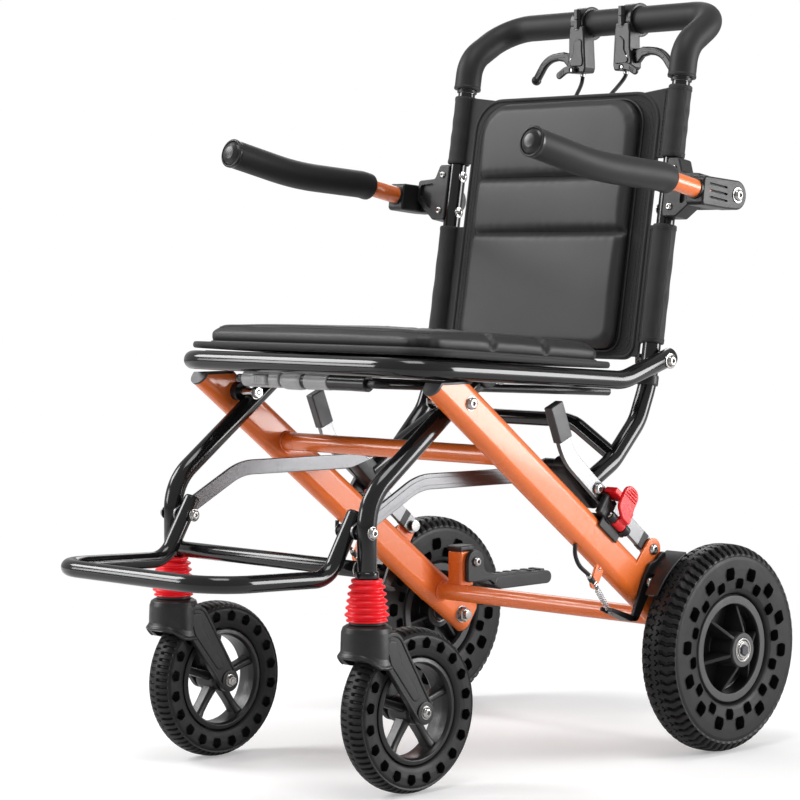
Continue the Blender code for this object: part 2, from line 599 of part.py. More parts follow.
def make_casters():
    """Caster forks with hooded crowns, five-spoke rims and solid tyres with a ring of holes."""
    axle = at(LEG_X, CASTER_AXLE)
    half = 28.5
    gap_half = 20.5
    # The crown is a hood round the swivel, open below for the wheel
    crown = turned("fork_left", [(0, FORK_TOP_Z), (23, FORK_TOP_Z), (27.5, 190), (29, 184), (29.5, 158),
                                 (32, 148), (0, 148)], frame(origin=(LEG_X, LEG_Y, 0)), 12, closed=False)
    blade = strap((-500, 168), CASTER_AXLE, 19, 14)
    join(crown, side_plate("fork_blade", blade, LEG_X - half, LEG_X + half))
    cut(crown, side_plate("wheel_room", arc(CASTER_AXLE, CASTER_D / 2 + 4.5, 0, 337.5, 15),
                          LEG_X - gap_half, LEG_X + gap_half))
    for s in (1, -1):
        pocket = strap((-496, 160), (-458, 104), 8, 6)
        cut(crown, side_plate("blade_pocket", pocket, LEG_X + s * (half - 2), LEG_X + s * (half + 4)))
    join(crown, pin("caster_axle", PIN_D, CASTER_AXLE, LEG_X - half + 2, LEG_X + half - 2))
    join(crown, pin("caster_bolt", 14, CASTER_AXLE, LEG_X - half - 2.5, LEG_X - half + 2, 6))
    join(crown, pin("caster_nut", 14, CASTER_AXLE, LEG_X + half - 2, LEG_X + half + 2.5, 6))
    cut(crown, cylinder("swivel_bore", 15.4, (LEG_X, LEG_Y, 174), (LEG_X, LEG_Y, 200), 12))
    finish_pair(crown, MATT_BLACK, (LEG_X, LEG_Y, FORK_TOP_Z), roughness=0.5)

    hub = frame(SIDE, axle)
    r = CASTER_RIM_D / 2
    ring = [(r, 15), (r, -15), (r - 6, -16.5), (r - 8, -12), (r - 8, 12), (r - 6, 16.5)]
    rim = turned("caster_rim_left", ring, hub, 16)
    join(rim, pin("caster_hub", 30, CASTER_AXLE, LEG_X - 17.5, LEG_X + 17.5, 10))
    for i in range(5):
        turn = SIDE @ Matrix.Rotation(math.radians(72 * i + 18), 3, "Z")
        join(rim, block("spoke", (44, 9, 16), axle + turn @ Vector((33, 0, 0)), turn))
    cut(rim, pin("hub_bore", PIN_BORE_D, CASTER_AXLE, LEG_X - 30, LEG_X + 30))
    finish_pair(rim, MATT_BLACK, axle, roughness=0.5)

    outer_r = CASTER_D / 2
    w = CASTER_TYRE_W / 2
    bead = r + 2 * GAP
    profile = [(outer_r, 8), (outer_r, -8), (outer_r - 7, -w), (bead, -w), (bead, w), (outer_r - 7, w)]
    tyre = turned("caster_tyre_left", profile, hub, 16)
    hole = [(0, 5.6), (-5.2, 1.6), (-3.6, -5.0), (3.6, -5.0), (5.2, 1.6)]
    for i in range(20):
        turn = SIDE @ Matrix.Rotation(math.radians(18 * i + 9), 3, "Z")
        center = axle + turn @ Vector((0, 76, 0))
        cut(tyre, plate("tyre_hole", hole, CASTER_TYRE_W + 8, frame(turn, center)))
    finish_pair(tyre, RUBBER, axle, roughness=0.75)


def make_footrest():
    """One bent tube, hung on the legs and swinging up."""
    x = FOOTREST_X
    corners = [(x, -505, 312), (x, -546, 244), (x, -712, 250), (-x, -712, 250), (-x, -546, 244), (-x, -505, 312)]
    rest = tube("footrest", rounded(corners, (34, 50, 50, 34), steps=3), FOOTREST_TUBE_D)
    for s in (1, -1):
        cut(rest, pin("footrest_bore", PIN_BORE_D, FOOT_PIVOT, s * (x - 14), s * (x + 14)))
    finish(rest, GLOSS_BLACK, at(0, FOOT_PIVOT), roughness=0.12)


def make_links():
    """The flat bars from the footrest pins back to the feet of the back tubes."""
    route = rounded([FOOT_PIVOT, (-418, 343), (-240, 341), LINK_REAR], (80, 60), steps=4)
    link = side_plate("link_left", ribbon(route, 18), LINK_X - 2, LINK_X + 2)
    join(link, pin("link_bolt", 13, LINK_REAR, LINK_X - 6, LINK_X, 6))
    cut(link, pin("link_bore", PIN_BORE_D, FOOT_PIVOT, LINK_X - 6, LINK_X + 6))
    finish_pair(link, GREY, at(LINK_X, FOOT_PIVOT), roughness=0.3, metallic=0.6)


def seat_line(y):
    """The height of the seat tubes' axis at this y."""
    return 449 - (y + 130) * 25 / 340


def make_seat():
    """The U-shaped seat tube with its cross tube, the board, the cushion and the pull handle."""
    x = SEAT_X
    front = -478
    rear_end = (x, -42, 475)
    rear_bend = (x, -130, 449)
    corners = [rear_end, rear_bend, (x, front, 473), (-x, front, 473), (-x, -130, 449), (-x, -42, 475)]
    seat = tube("seat_frame", rounded(corners, (70, 58, 58, 70), steps=3), TUBE_D)
    join(seat, pin("seat_cross_tube", CROSS_TUBE_D, SEAT_PIVOT, -x, x))
    rod_slope = Matrix.Rotation(math.atan2(-10.8, 200), 3, "X")
    for s in (1, -1):
        join(
            seat,
            pin("back_pivot_pin", PIN_D, BACK_PIVOT, s * 164, s * x),
            pin("back_pivot_nut", 14, BACK_PIVOT, s * 161.5, s * 166.8, 6),
            pin("back_pivot_head", 14, BACK_PIVOT, s * (x + 9), s * (x + 15), 6),
            block("front_guide", (32, 37, 27), (s * 121, -459.3, 454.3)),
            block("cross_guide", (20, 14.6, 24), (s * 121, -330.2, 451.3)),
        )
        rod_bore = cylinder("rod_bore", 11.6, (s * 121, -500, 454.6), (s * 121, -300, 443.8), 8)
        grip_room = block("grip_room", (24, 76, 11.6), (s * 109, -474.6, 453.2), rod_slope)
        cut(seat, rod_bore, grip_room)
    finish(seat, GLOSS_BLACK, at(0, BACK_PIVOT), roughness=0.12)

    slope = Matrix.Rotation(math.atan2(-25, 340), 3, "X")
    middle_y = -298
    board = block("seat_board", (368, 296, 4), (0, middle_y, seat_line(middle_y) + 9), slope)
    finish(board, MATT_BLACK, roughness=0.7)

    cushion = cushion_form("seat_cushion", (410, 334), 27, 11,
                           frame(slope, (0, -299, seat_line(-299) + TUBE_D / 2 + GAP)),
                           rows=(0, 0.10, 0.36, 0.64, 0.90, 1), columns=(0, 0.12, 0.5, 0.88, 1), tufts=True)
    finish(cushion, LEATHER, roughness=0.45)

    # The rods slide through the guides; the grip lies across between them
    rod = tube("pull_handle", rounded([(121, -62, 430.6), (121, -449, 451.9), (-121, -449, 451.9),
                                       (-121, -62, 430.6)], (9, 9), steps=3), 10, sides=8)
    grip = cylinder("pull_grip", 19, (-102, -449, 451.9), (102, -449, 451.9), 10)
    collar = cylinder("grip_collar", 21.5, (-40, -449, 451.9), (0, -449, 451.9), 10)
    join(rod, grip, collar)
    cut(rod, block("button_room", (26.6, 14, 12.6), (-70, -455, 451.9)))
    finish(rod, GREY, roughness=0.45)
    button = block("pull_button", (26, 10.4, 12), (-70, -456.7, 451.9), rounding=2)
    finish(button, GREY, roughness=0.45)


def cushion_form(name, size, thickness, crown, placed, rows, columns, tufts=False):
    """A sewn cushion: crowned between its seams, its sides drawn in, its underside flat."""
    form = bmesh.new()
    width, length = size
    layers = ((0.0, 0.965), (0.55, 1.0))
    rings = []
    grid = {}
    for i, u in enumerate(columns):
        for j, v in enumerate(rows):
            edge = 4 * u * (1 - u) * 4 * v * (1 - v)
            height = thickness + crown * min(1, edge ** 0.5)
            if tufts and 0 < i < len(columns) - 1 and 0 < j < len(rows) - 1:
                height -= 0.35 * crown * (i % 2) * (j % 2)
            grid[i, j] = form.verts.new(((u - 0.5) * width * 0.94 * MM, (v - 0.5) * length * 0.94 * MM,
                                         height * MM))
    for i in range(len(columns) - 1):
        for j in range(len(rows) - 1):
            form.faces.new((grid[i, j], grid[i + 1, j], grid[i + 1, j + 1], grid[i, j + 1]))
    border = [(i, 0) for i in range(len(columns))] + [(len(columns) - 1, j) for j in range(1, len(rows))]
    border += [(i, len(rows) - 1) for i in range(len(columns) - 2, -1, -1)]
    border += [(0, j) for j in range(len(rows) - 2, 0, -1)]
    above = [grid[key] for key in border]
    for level, share in reversed(layers):
        ring = []
        for i, j in border:
            u = columns[i] - 0.5
            v = rows[j] - 0.5
            ring.append(form.verts.new((u * width * share * MM, v * length * share * MM,
                                        level * thickness * MM)))
        rings.append(ring)
        for k in range(len(border)):
            n = (k + 1) % len(border)
            form.faces.new((above[k], ring[k], ring[n], above[n]))
        above = ring
    form.faces.new(above)
    bmesh.ops.recalc_face_normals(form, faces=form.faces)
    mesh = bpy.data.meshes.new(name)
    form.to_mesh(mesh)
    form.free()
    cushion = add_object(name, mesh, placed)
    smooth = cushion.modifiers.new("soft", "SUBSURF")
    smooth.levels = 1
    smooth.render_levels = 1
    return cushion


def back_frame():
    """The back's own plane: x across, y up along the tubes, z square out to the front."""
    along = (Vector(BACK_TOP) - Vector(BACK_FOOT)).normalized()
    turn = Matrix(((1, 0, 0), (0, along.x, -along.y), (0, along.y, along.x)))
    return turn, at(0, BACK_FOOT)


def make_back():
    """The bent back tubes, the arch and push handle between them, and the upholstery they carry."""
    route = rounded([LEVER_TIP, (-122, 352), (-76, 398), BACK_FOOT, BACK_TOP], (60, 60, 90), steps=3)
    back_tube = tube("back_tube_left", [at(BACK_X, p) for p in route], TUBE_D)
    collar_low = at(BACK_X, Vector(BACK_FOOT).lerp(Vector(BACK_TOP), 0.0))
    collar_high = at(BACK_X, Vector(BACK_FOOT).lerp(Vector(BACK_TOP), 0.035))
    fitting = side_plate("foot_fitting", strap(LINK_REAR, (-163, 311), 13, 12), 169, 188.5)
    join(
        back_tube,
        fitting,
        cylinder("collar", 25.6, collar_low, collar_high, 8),
        pin("link_boss", 18, LINK_REAR, LINK_X + 2.6, 172),
        pin("tip_boss", 16, LEVER_TIP, 180, LEVER_X - 3.5),
    )
    for i in range(3):
        spot = Vector(LINK_REAR).lerp(Vector((-163, 311)), 0.4 + 0.24 * i)
        turn = SIDE @ Matrix.Rotation(math.atan2(39, -42), 3, "Z")
        cut(back_tube, block("fitting_groove", (2.4, 40, 4), at(189.5, spot), turn))
    cut(back_tube, pin("back_bore", PIN_BORE_D, BACK_PIVOT, BACK_X - 20, BACK_X + 20))
    finish_pair(back_tube, GLOSS_BLACK, at(BACK_X, BACK_PIVOT), roughness=0.12)

    arch_y = -119
    corners = [(BACK_X, arch_y, 358), (112, arch_y, 398), (-112, arch_y, 398), (-BACK_X, arch_y, 358)]
    arch = tube("back_arch", rounded(corners, (60, 60), steps=4), 18)
    for s in (1, -1):
        cut(arch, tube("arch_cope", [at(s * BACK_X, p) for p in route], TUBE_D + 2 * GAP))
    finish(arch, GLOSS_BLACK, roughness=0.12)

    turn, foot = back_frame()
    rise = Vector(BACK_TOP) - Vector(BACK_FOOT)
    along = rise.normalized()

    def up_back(z):
        return Vector(BACK_FOOT) + along * ((z - BACK_FOOT[1]) / along.y)

    x = BACK_X
    start = up_back(805 + GAP)
    bend = up_back(848)
    corners = [at(x, start), at(x, bend), (x - 3, HANDLE_TOP[0], HANDLE_TOP[1]),
               (3 - x, HANDLE_TOP[0], HANDLE_TOP[1]), at(-x, bend), at(-x, start)]
    path = rounded(corners, (44, 46, 46, 44), steps=3)
    handle = tube("push_handle", path, TUBE_D)
    finish(handle, GLOSS_BLACK, roughness=0.12)
    foam_start = up_back(812)
    foam_path = [at(x, foam_start)] + path[1:-1] + [at(-x, foam_start)]
    foam = tube("handle_foam", foam_path, HANDLE_FOAM_D, 8)
    cut(foam, tube("foam_bore", path, TUBE_D + 2 * GAP))
    finish(foam, MATT_BLACK, roughness=0.9)

    def height(z):
        return (z - BACK_FOOT[1]) / along.y

    panel_low = height(482)
    panel_high = height(794)
    panel = block("back_panel", (306, panel_high - panel_low, 5),
                  foot + turn @ Vector((0, (panel_low + panel_high) / 2, 0)), turn)
    for s in (1, -1):
        for low, high in ((490, 632), (713, 800)):
            sleeve = cylinder("sleeve", 29, at(s * x, up_back(low)), at(s * x, up_back(high)), 8)
            web_middle = (height(low) + height(high)) / 2
            web_length = height(high) - height(low)
            web = block("sleeve_web", (30, web_length, 5), foot + turn @ Vector((s * 160, web_middle, 0)), turn)
            join(panel, sleeve, web)
        cut(panel, cylinder("sleeve_bore", TUBE_D + 2, at(s * x, up_back(455)), at(s * x, up_back(830)), 10))
    finish(panel, MATT_BLACK, roughness=0.8)

    pad_low = height(478)
    pad_high = height(788)
    rows = (0, 0.1, 0.44, 0.465, 0.49, 0.68, 0.702, 0.724, 0.88, 1)
    pad = cushion_form("back_cushion", (254, pad_high - pad_low), 11, 8,
                       frame(turn, foot + turn @ Vector((0, (pad_low + pad_high) / 2, 2.9))), rows=rows,
                       columns=(0, 0.14, 0.86, 1))
    for vertex in pad.data.vertices:
        share = vertex.co.y / ((pad_high - pad_low) * MM * 0.94) + 0.5
        if vertex.co.z > 12 * MM and min(abs(share - 0.465), abs(share - 0.702)) < 0.002:
            vertex.co.z -= 6 * MM
    finish(pad, LEATHER, roughness=0.4)


def make_armrests():
    """Brackets on the back tubes, and the armrests that swing up on them."""
    turn, foot = back_frame()
    along = (Vector(BACK_TOP) - Vector(BACK_FOOT)).normalized()

    def on_back(x, z, out):
        return foot + turn @ Vector((x, (z - BACK_FOOT[1]) / along.y, out))

    inner = BACK_X + 3
    low = (640 - BACK_FOOT[1]) / along.y
    top = (711 - BACK_FOOT[1]) / along.y
    outline = [(inner, low), (203, low), (235, low + 26), (235, low + 52), (206, low + 54), (199, top), (inner, top)]
    bracket = plate("armrest_bracket_left", outline, 24, frame(turn, foot + turn @ Vector((0, 0, 1))))
    boss = pin("pivot_boss", 34, ARMREST_PIVOT, 199, 235.4, 14)
    web = side_plate("boss_web", [(-25, 652), (8, 650), (8, 684), (-20, 684)], 199, 235)
    join(bracket, boss, web)
    pocket = side_plate("bracket_pocket", [(-26, 648), (4, 645), (4, 662), (-22, 672)], 209, 230)
    cut(bracket, pocket)
    back_tube_room = cylinder("tube_room", TUBE_D + 1.6, on_back(BACK_X, 600, 0), on_back(BACK_X, 740, 0), 12)
    cut(bracket, back_tube_room)
    join(bracket, pin("armrest_pin", PIN_D, ARMREST_PIVOT, 230, 263))
    join(bracket, pin("armrest_pin_head", 14, ARMREST_PIVOT, 262.3, 266.5, 6))
    finish_pair(bracket, MATT_BLACK, roughness=0.5)

    x = ARMREST_X
    block_low = 236.0
    block_high = 262.0
    outline = arc(ARMREST_PIVOT, 17.5, -90, 90, 8) + [(-50, 689.5), (-55, 655), (-12, 650.5)]
    arm = side_plate("armrest_arm_left", outline, block_low, block_high)
    path = rounded([(-40, 671), (-120, 687), (-235, 696), (-332, 719)], (150, 500), steps=3)
    core = tube("armrest_tube", [at(x, p) for p in path], TUBE_D)
    join(arm, core)
    for height in (-8, 0, 8):
        groove = block("block_groove", (34, 3, 5), at(block_high, (-28, 670 + height)),
                       SIDE @ Matrix.Rotation(math.radians(-8), 3, "Z"))
        cut(arm, groove)
    cut(arm, pin("armrest_bore", PIN_BORE_D, ARMREST_PIVOT, block_low - 4, block_high + 4))
    finish_pair(arm, ORANGE, at(x, ARMREST_PIVOT), roughness=0.25)

    foam_path = rounded([(-112, 686), (-120, 687), (-235, 696), (-342, 721)], (2, 500), steps=3)
    foam = tube("armrest_foam_left", [at(x, p) for p in foam_path], 35, 8)
    cut(foam, tube("armrest_foam_bore", [at(x, p) for p in path], TUBE_D + 2 * GAP))
    finish_pair(foam, MATT_BLACK, at(x, ARMREST_PIVOT), roughness=0.9)


def make_hand_brakes():
    """Two brake levers on the push handle, their lock tabs and the cables that leave them."""
    bar = Vector((BRAKE_BODY_X, HANDLE_TOP[0], HANDLE_TOP[1]))
    body = block("brake_body_left", (22, 20, 58), bar + Vector((0, -13, -34)), rounding=3)
    clamp = cylinder("brake_clamp", 43, bar - Vector((10.6, 0, 0)), bar + Vector((10.6, 0, 0)), 12)
    join(body, clamp)
    cut(body, cylinder("grip_room", HANDLE_FOAM_D + 1.4, bar - Vector((20, 0, 0)), bar + Vector((20, 0, 0)), 12))
    pivot = bar + Vector((2, -13, -46))
    cut(body, block("lever_slot", (28, 9, 18.4), pivot + Vector((6.4, 0, 0))))
    join(body, cylinder("brake_lever_pin", 5, pivot - Vector((0, 8, 0)), pivot + Vector((0, 8, 0))))
    tab_pivot = bar + Vector((2, -23.6, -60))
    join(body, cylinder("tab_pin", 4, tab_pivot + Vector((0, 3, 0)), tab_pivot + Vector((0, -5, 0)), 6))
    finish_pair(body, GLOSS_BLACK, roughness=0.35)

    route = rounded([(0, 0), (28, 4), (52, 2), (74, -18)], (40, 26), steps=3)
    lever = plate("brake_lever_left", ribbon(route, 10), 8, frame(FRONT, pivot))
    cut(lever, cylinder("lever_pin_bore", 6.4, pivot - Vector((0, 20, 0)), pivot + Vector((0, 20, 0))))
    finish_pair(lever, GLOSS_BLACK, pivot, roughness=0.3)

    tab = block("lock_tab_left", (26, 3.4, 11), tab_pivot + Vector((8, -2.3, 0)), rounding=1)
    cut(tab, cylinder("tab_bore", 5.4, tab_pivot + Vector((0, 6, 0)), tab_pivot + Vector((0, -8, 0)), 8))
    finish_pair(tab, GLOSS_BLACK, tab_pivot, roughness=0.3)


def make_cables():
    """The brake cables: on the back from the levers to the sleeves, under the arms out to their stops."""
    along = (Vector(BACK_TOP) - Vector(BACK_FOOT)).normalized()

    def behind_panel(x, z):
        side_point = Vector(BACK_FOOT) + along * ((z - BACK_FOOT[1]) / along.y)
        return Vector((x, side_point.x + 6.2, side_point.y))

    bodies = []
    for s in (1, -1):
        leaving = Vector((s * (BRAKE_BODY_X - 4), HANDLE_TOP[0] - 13, HANDLE_TOP[1] - 63 - GAP))
        shape = [leaving, leaving - Vector((0, 0, 6)), (s * 27, 48, 812), behind_panel(s * 12, 784),
                 behind_panel(s * 2.8, 740), behind_panel(s * 2.8, 560), behind_panel(s * 40, 528),
                 behind_panel(s * 120, 512), behind_panel(s * 164.6, 510)]
        bodies.append(tube("brake_cables" if s > 0 else "other_cable", shape, CABLE_D, sides=6))
    cables = join(*bodies)
    tie = behind_panel(0, 650)
    join(cables, block("cable_tie", (12, 5.6, 6), tie, rounding=1))
    finish(cables, GLOSS_BLACK, roughness=0.5)

    stop = Vector(CABLE_STOP)
    shape = [at(LEVER_X, p) for p in (stop - 10.6 * CABLE_PULL, stop - 15 * CABLE_PULL, (-196.5, 231),
                                      (-206, 242), (-211, 252), (-212, 260.6))]
    finish_pair(tube("cable_lower_left", shape, CABLE_D, sides=6), GLOSS_BLACK, roughness=0.5)


def main():
    make_arms()
    make_cross_tubes()
    make_tip_pedal()
    make_rear_wheels()
    make_brakes()
    make_saddles()
    make_levers()
    make_leg_frame()
    make_suspension()
    make_casters()
    make_footrest()
    make_links()
    make_seat()
    make_back()
    make_armrests()
    make_hand_brakes()
    make_cables()

    chair = bpy.data.objects.new("rear_axle_on_floor", None)
    parts.objects.link(chair)
    for obj in list(parts.objects) + list(cutters.objects):
        if obj is not chair:
            obj.parent = chair
    chair.location.y = REAR_AXLE_BEHIND_MIDDLE * MM


main()
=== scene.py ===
import math

import bmesh
import bpy
from mathutils import Matrix, Vector, noise
from mathutils.bvhtree import BVHTree


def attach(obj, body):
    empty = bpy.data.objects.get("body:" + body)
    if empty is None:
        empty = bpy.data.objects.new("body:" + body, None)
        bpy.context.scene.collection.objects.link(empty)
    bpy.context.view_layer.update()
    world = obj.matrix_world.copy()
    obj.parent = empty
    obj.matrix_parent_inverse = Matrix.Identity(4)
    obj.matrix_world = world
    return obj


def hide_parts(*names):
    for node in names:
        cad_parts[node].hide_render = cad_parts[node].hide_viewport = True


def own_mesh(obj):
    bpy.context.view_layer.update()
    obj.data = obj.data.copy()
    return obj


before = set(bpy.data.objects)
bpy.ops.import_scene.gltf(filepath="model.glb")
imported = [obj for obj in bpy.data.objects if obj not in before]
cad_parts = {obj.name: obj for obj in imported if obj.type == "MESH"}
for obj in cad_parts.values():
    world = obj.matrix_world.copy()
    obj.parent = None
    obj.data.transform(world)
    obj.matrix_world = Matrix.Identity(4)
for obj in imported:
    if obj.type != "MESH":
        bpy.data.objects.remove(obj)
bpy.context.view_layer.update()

# Shapes are drawn in millimetres from the point on the floor under the rear axle: x to the sitter's
# left, y back, z up. addPiece turns them into metres in the frame's own place.
axleBehindMiddle = 295.75
toMetres = Matrix.Translation((0, axleBehindMiddle * 0.001, 0)) @ Matrix.Scale(0.001, 4)
# Side view: local x runs back, local y up, local z to the sitter's left
sideView = Matrix(((0, 0, 1, 0), (1, 0, 0, 0), (0, 1, 0, 0), (0, 0, 0, 1)))
# Front view: local x runs left, local y up, local z forward
frontView = Matrix(((1, 0, 0, 0), (0, 0, -1, 0), (0, 1, 0, 0), (0, 0, 0, 1)))


# Shader building

class wire:
    # one output of a node; arithmetic on it adds Math nodes
    def __init__(self, owner, socket):
        self.owner, self.socket = owner, socket

    def maths(self, operation, *values):
        return self.owner.node("ShaderNodeMath", {"operation": operation}, dict(enumerate(values)))

    def __add__(self, other):
        return self.maths("ADD", self, other)

    def __sub__(self, other):
        return self.maths("SUBTRACT", self, other)

    def __rsub__(self, other):
        return self.maths("SUBTRACT", other, self)

    def __mul__(self, other):
        return self.maths("MULTIPLY", self, other)

    __radd__ = __add__
    __rmul__ = __mul__


class nodeTree:
    # the way that every other node is made and linked
    def __init__(self, tree):
        self.tree = tree

    def node(self, kind, settings=None, sockets=None, output=0):
        made = self.tree.nodes.new(kind)
        for key, value in (settings or {}).items():
            if key == "stops":
                for stop, (place, shade) in zip(made.color_ramp.elements, value):
                    stop.position, stop.color = place, (shade, shade, shade, 1)
            else:
                setattr(made, key, value)
        for key, value in (sockets or {}).items():
            self.plug(made.inputs[key], value)
        return wire(self, made.outputs[output])

    def plug(self, socket, value):
        if isinstance(value, wire):
            self.tree.links.new(value.socket, socket)
        else:
            if socket.type == "RGBA" and len(value) == 3:
                value = (*value, 1)
            socket.default_value = value


class finish(nodeTree):
    # one material and the few kinds of node that it is made from
    def __init__(self, name, roughness=0.5, metallic=0.0, **constants):
        self.material = bpy.data.materials.new(name)
        self.material.use_nodes = True
        super().__init__(self.material.node_tree)
        self.shader = self.tree.nodes["Principled BSDF"]
        self.set(Roughness=roughness, Metallic=metallic, **constants)

    def set(self, **values):
        for key, value in values.items():
            self.plug(self.shader.inputs[key.replace("_", " ")], value)

    def place(self, stretch=(1, 1, 1), turn=(0, 0, 0)):
        spot = self.node("ShaderNodeTexCoord", output="Object")
        return self.node("ShaderNodeMapping", {}, {"Vector": spot, "Scale": stretch, "Rotation": turn})

    def noise(self, scale, detail=2.0, roughness=0.5, stretch=(1, 1, 1)):
        return self.node("ShaderNodeTexNoise", {}, {"Vector": self.place(stretch), "Scale": scale,
                                                    "Detail": detail, "Roughness": roughness})

    def cells(self, scale, feature="F1"):
        return self.node("ShaderNodeTexVoronoi", {"feature": feature}, {"Vector": self.place(), "Scale": scale})

    def bands(self, scale, direction, turn):
        return self.node("ShaderNodeTexWave", {"bands_direction": direction},
                         {"Vector": self.place(turn=turn), "Scale": scale, "Distortion": 0.4}, output=1)

    def steps(self, value, *stops):
        return self.node("ShaderNodeValToRGB", {"stops": stops}, {0: value})

    def mix(self, share, first, second):
        return self.node("ShaderNodeMix", {"data_type": "RGBA"}, {0: share, 6: first, 7: second}, output=2)

    def bump(self, height, depth):
        self.set(Normal=self.node("ShaderNodeBump", {}, {"Strength": 1.0, "Distance": depth, "Height": height}))
        return self.material


def enamel(name, colour, shade, roughness, specular, peel, **constants):
    # powder coat: a faint orange peel, a slow drift in shade and a few dull scuffs
    made = finish(name, Specular_IOR_Level=specular, **constants)
    drift = made.noise(11, 3)
    scuffs = made.steps(made.noise(170, 6, 0.7, (1, 1, 3)), (0.60, 0), (0.74, 1))
    made.set(Base_Color=made.mix(drift, colour, shade), Roughness=roughness + 0.06 * drift + 0.10 * scuffs)
    return made.bump(made.noise(700, 2) + 0.5 * made.noise(2600, 1), peel)


def moulded(name, colour, shade, roughness, grainScale, grainDepth, **constants):
    # moulded plastic or rubber: a fine spark-eroded grain, worn smoother and paler in patches
    made = finish(name, **constants)
    wear = made.steps(made.noise(38, 5, 0.6), (0.42, 0), (0.72, 1))
    grain = made.cells(grainScale)
    made.set(Base_Color=made.mix(wear * 0.7 + 0.3 * made.noise(900, 2), colour, shade),
             Roughness=roughness - 0.08 * wear)
    return made.bump(grain + 0.6 * made.noise(grainScale * 1.7, 2), grainDepth)


def metal(name, colour, shade, roughness, stretch, depth, **constants):
    # drawn or brushed metal: fine streaks along one direction and small dull spots
    made = finish(name, metallic=1.0, **constants)
    streaks = made.noise(650, 3, 0.6, stretch)
    spots = made.steps(made.noise(240, 4), (0.55, 0), (0.75, 1))
    made.set(Base_Color=made.mix(streaks * 0.7 + spots * 0.3, colour, shade),
             Roughness=roughness + 0.06 * streaks + 0.05 * spots)
    return made.bump(streaks, depth)


def foamRubber(name, colour, shade):
    # closed-cell foam with a skin: fine pores and a soft bloom
    made = finish(name, Specular_IOR_Level=0.26, Sheen_Weight=0.02, Sheen_Roughness=0.5)
    pores = made.cells(1500)
    bloom = made.noise(30, 4, 0.6)
    made.set(Base_Color=made.mix(bloom * 0.6 + pores * 0.4, colour, shade), Roughness=0.47 + 0.08 * bloom)
    return made.bump(pores + 0.5 * made.noise(2600, 2), 0.00005)


def coatedLeather(name, colour, shade):
    # polyurethane leather: pebble grain with fine creases, glossier on the pebbles
    made = finish(name, Specular_IOR_Level=0.42)
    pebbles = made.cells(1150, "DISTANCE_TO_EDGE")
    grain = made.steps(pebbles, (0.0, 0), (0.16, 1))
    creases = made.noise(120, 5, 0.6, (1, 2.5, 1))
    made.set(Base_Color=made.mix(0.5 * grain + 0.5 * creases, colour, shade),
             Roughness=0.44 - 0.06 * grain + 0.06 * creases)
    return made.bump(grain * 0.8 + creases * 0.7, 0.00005)


def wovenCloth(name, colour, shade, pitch, roughness=0.8):
    # plain weave: raised threads in two directions, with slubs
    made = finish(name, Specular_IOR_Level=0.3, Sheen_Weight=0.15, Sheen_Roughness=0.4)
    warp, weft = made.bands(pitch, "X", (0, 0, 0)), made.bands(pitch, "Z", (0.17, 0, 0))
    weave = warp * weft + 0.4 * made.noise(pitch * 7, 2)
    made.set(Base_Color=made.mix(weave, colour, shade), Roughness=roughness - 0.1 * weave)
    return made.bump(weave, 0.00022)


orangeEnamel = enamel("orangeEnamel", (0.92, 0.190, 0.030), (0.87, 0.172, 0.027), 0.24, 0.5, 0.00004,
                      Coat_Weight=0.5, Coat_Roughness=0.10)
blackEnamel = enamel("blackEnamel", (0.007, 0.007, 0.008), (0.010, 0.010, 0.011), 0.09, 0.5, 0.00001)
satinBlack = enamel("satinBlack", (0.009, 0.009, 0.010), (0.014, 0.014, 0.015), 0.26, 0.45, 0.00003)
blackPlastic = moulded("blackPlastic", (0.011, 0.011, 0.012), (0.019, 0.019, 0.020), 0.40, 1900, 0.00004,
                       Specular_IOR_Level=0.40)
greyPlastic = moulded("greyPlastic", (0.37, 0.37, 0.375), (0.43, 0.43, 0.435), 0.36, 1900, 0.00004)
darkGreyPlastic = moulded("darkGreyPlastic", (0.050, 0.050, 0.054), (0.068, 0.068, 0.072), 0.42, 1900, 0.00004)
tyreRubber = moulded("tyreRubber", (0.009, 0.009, 0.010), (0.016, 0.016, 0.016), 0.46, 1300, 0.00005,
                     Specular_IOR_Level=0.27)
rimPlastic = moulded("rimPlastic", (0.012, 0.012, 0.013), (0.020, 0.020, 0.021), 0.34, 1700, 0.00004,
                     Specular_IOR_Level=0.45)
rimFace = moulded("rimFace", (0.036, 0.036, 0.037), (0.050, 0.050, 0.051), 0.46, 1700, 0.00004)
redRubber = moulded("redRubber", (0.95, 0.010, 0.022), (0.90, 0.009, 0.018), 0.34, 1500, 0.00002,
                    Specular_IOR_Level=0.45)
redPlastic = moulded("redPlastic", (0.86, 0.014, 0.020), (0.82, 0.013, 0.018), 0.30, 1800, 0.00001)
brushedSilver = metal("brushedSilver", (0.52, 0.52, 0.525), (0.46, 0.46, 0.465), 0.28, (1, 1, 0.06), 0.000003)
leverSteel = metal("leverSteel", (0.23, 0.23, 0.235), (0.19, 0.19, 0.195), 0.26, (1, 1, 0.06), 0.000003)
boltSteel = metal("boltSteel", (0.50, 0.49, 0.48), (0.34, 0.33, 0.32), 0.15, (1, 1, 1), 0.00003)
darkSteel = metal("darkSteel", (0.10, 0.10, 0.11), (0.055, 0.055, 0.06), 0.30, (1, 1, 1), 0.00003)
springWire = metal("springWire", (0.70, 0.70, 0.71), (0.52, 0.52, 0.53), 0.18, (0.1, 1, 1), 0.00001)
satinGrey = metal("satinGrey", (0.155, 0.155, 0.16), (0.13, 0.13, 0.135), 0.30, (1, 0.06, 1), 0.000004)
gripFoam = foamRubber("gripFoam", (0.017, 0.017, 0.0175), (0.026, 0.026, 0.0265))
leather = coatedLeather("leather", (0.022, 0.022, 0.023), (0.032, 0.032, 0.033))
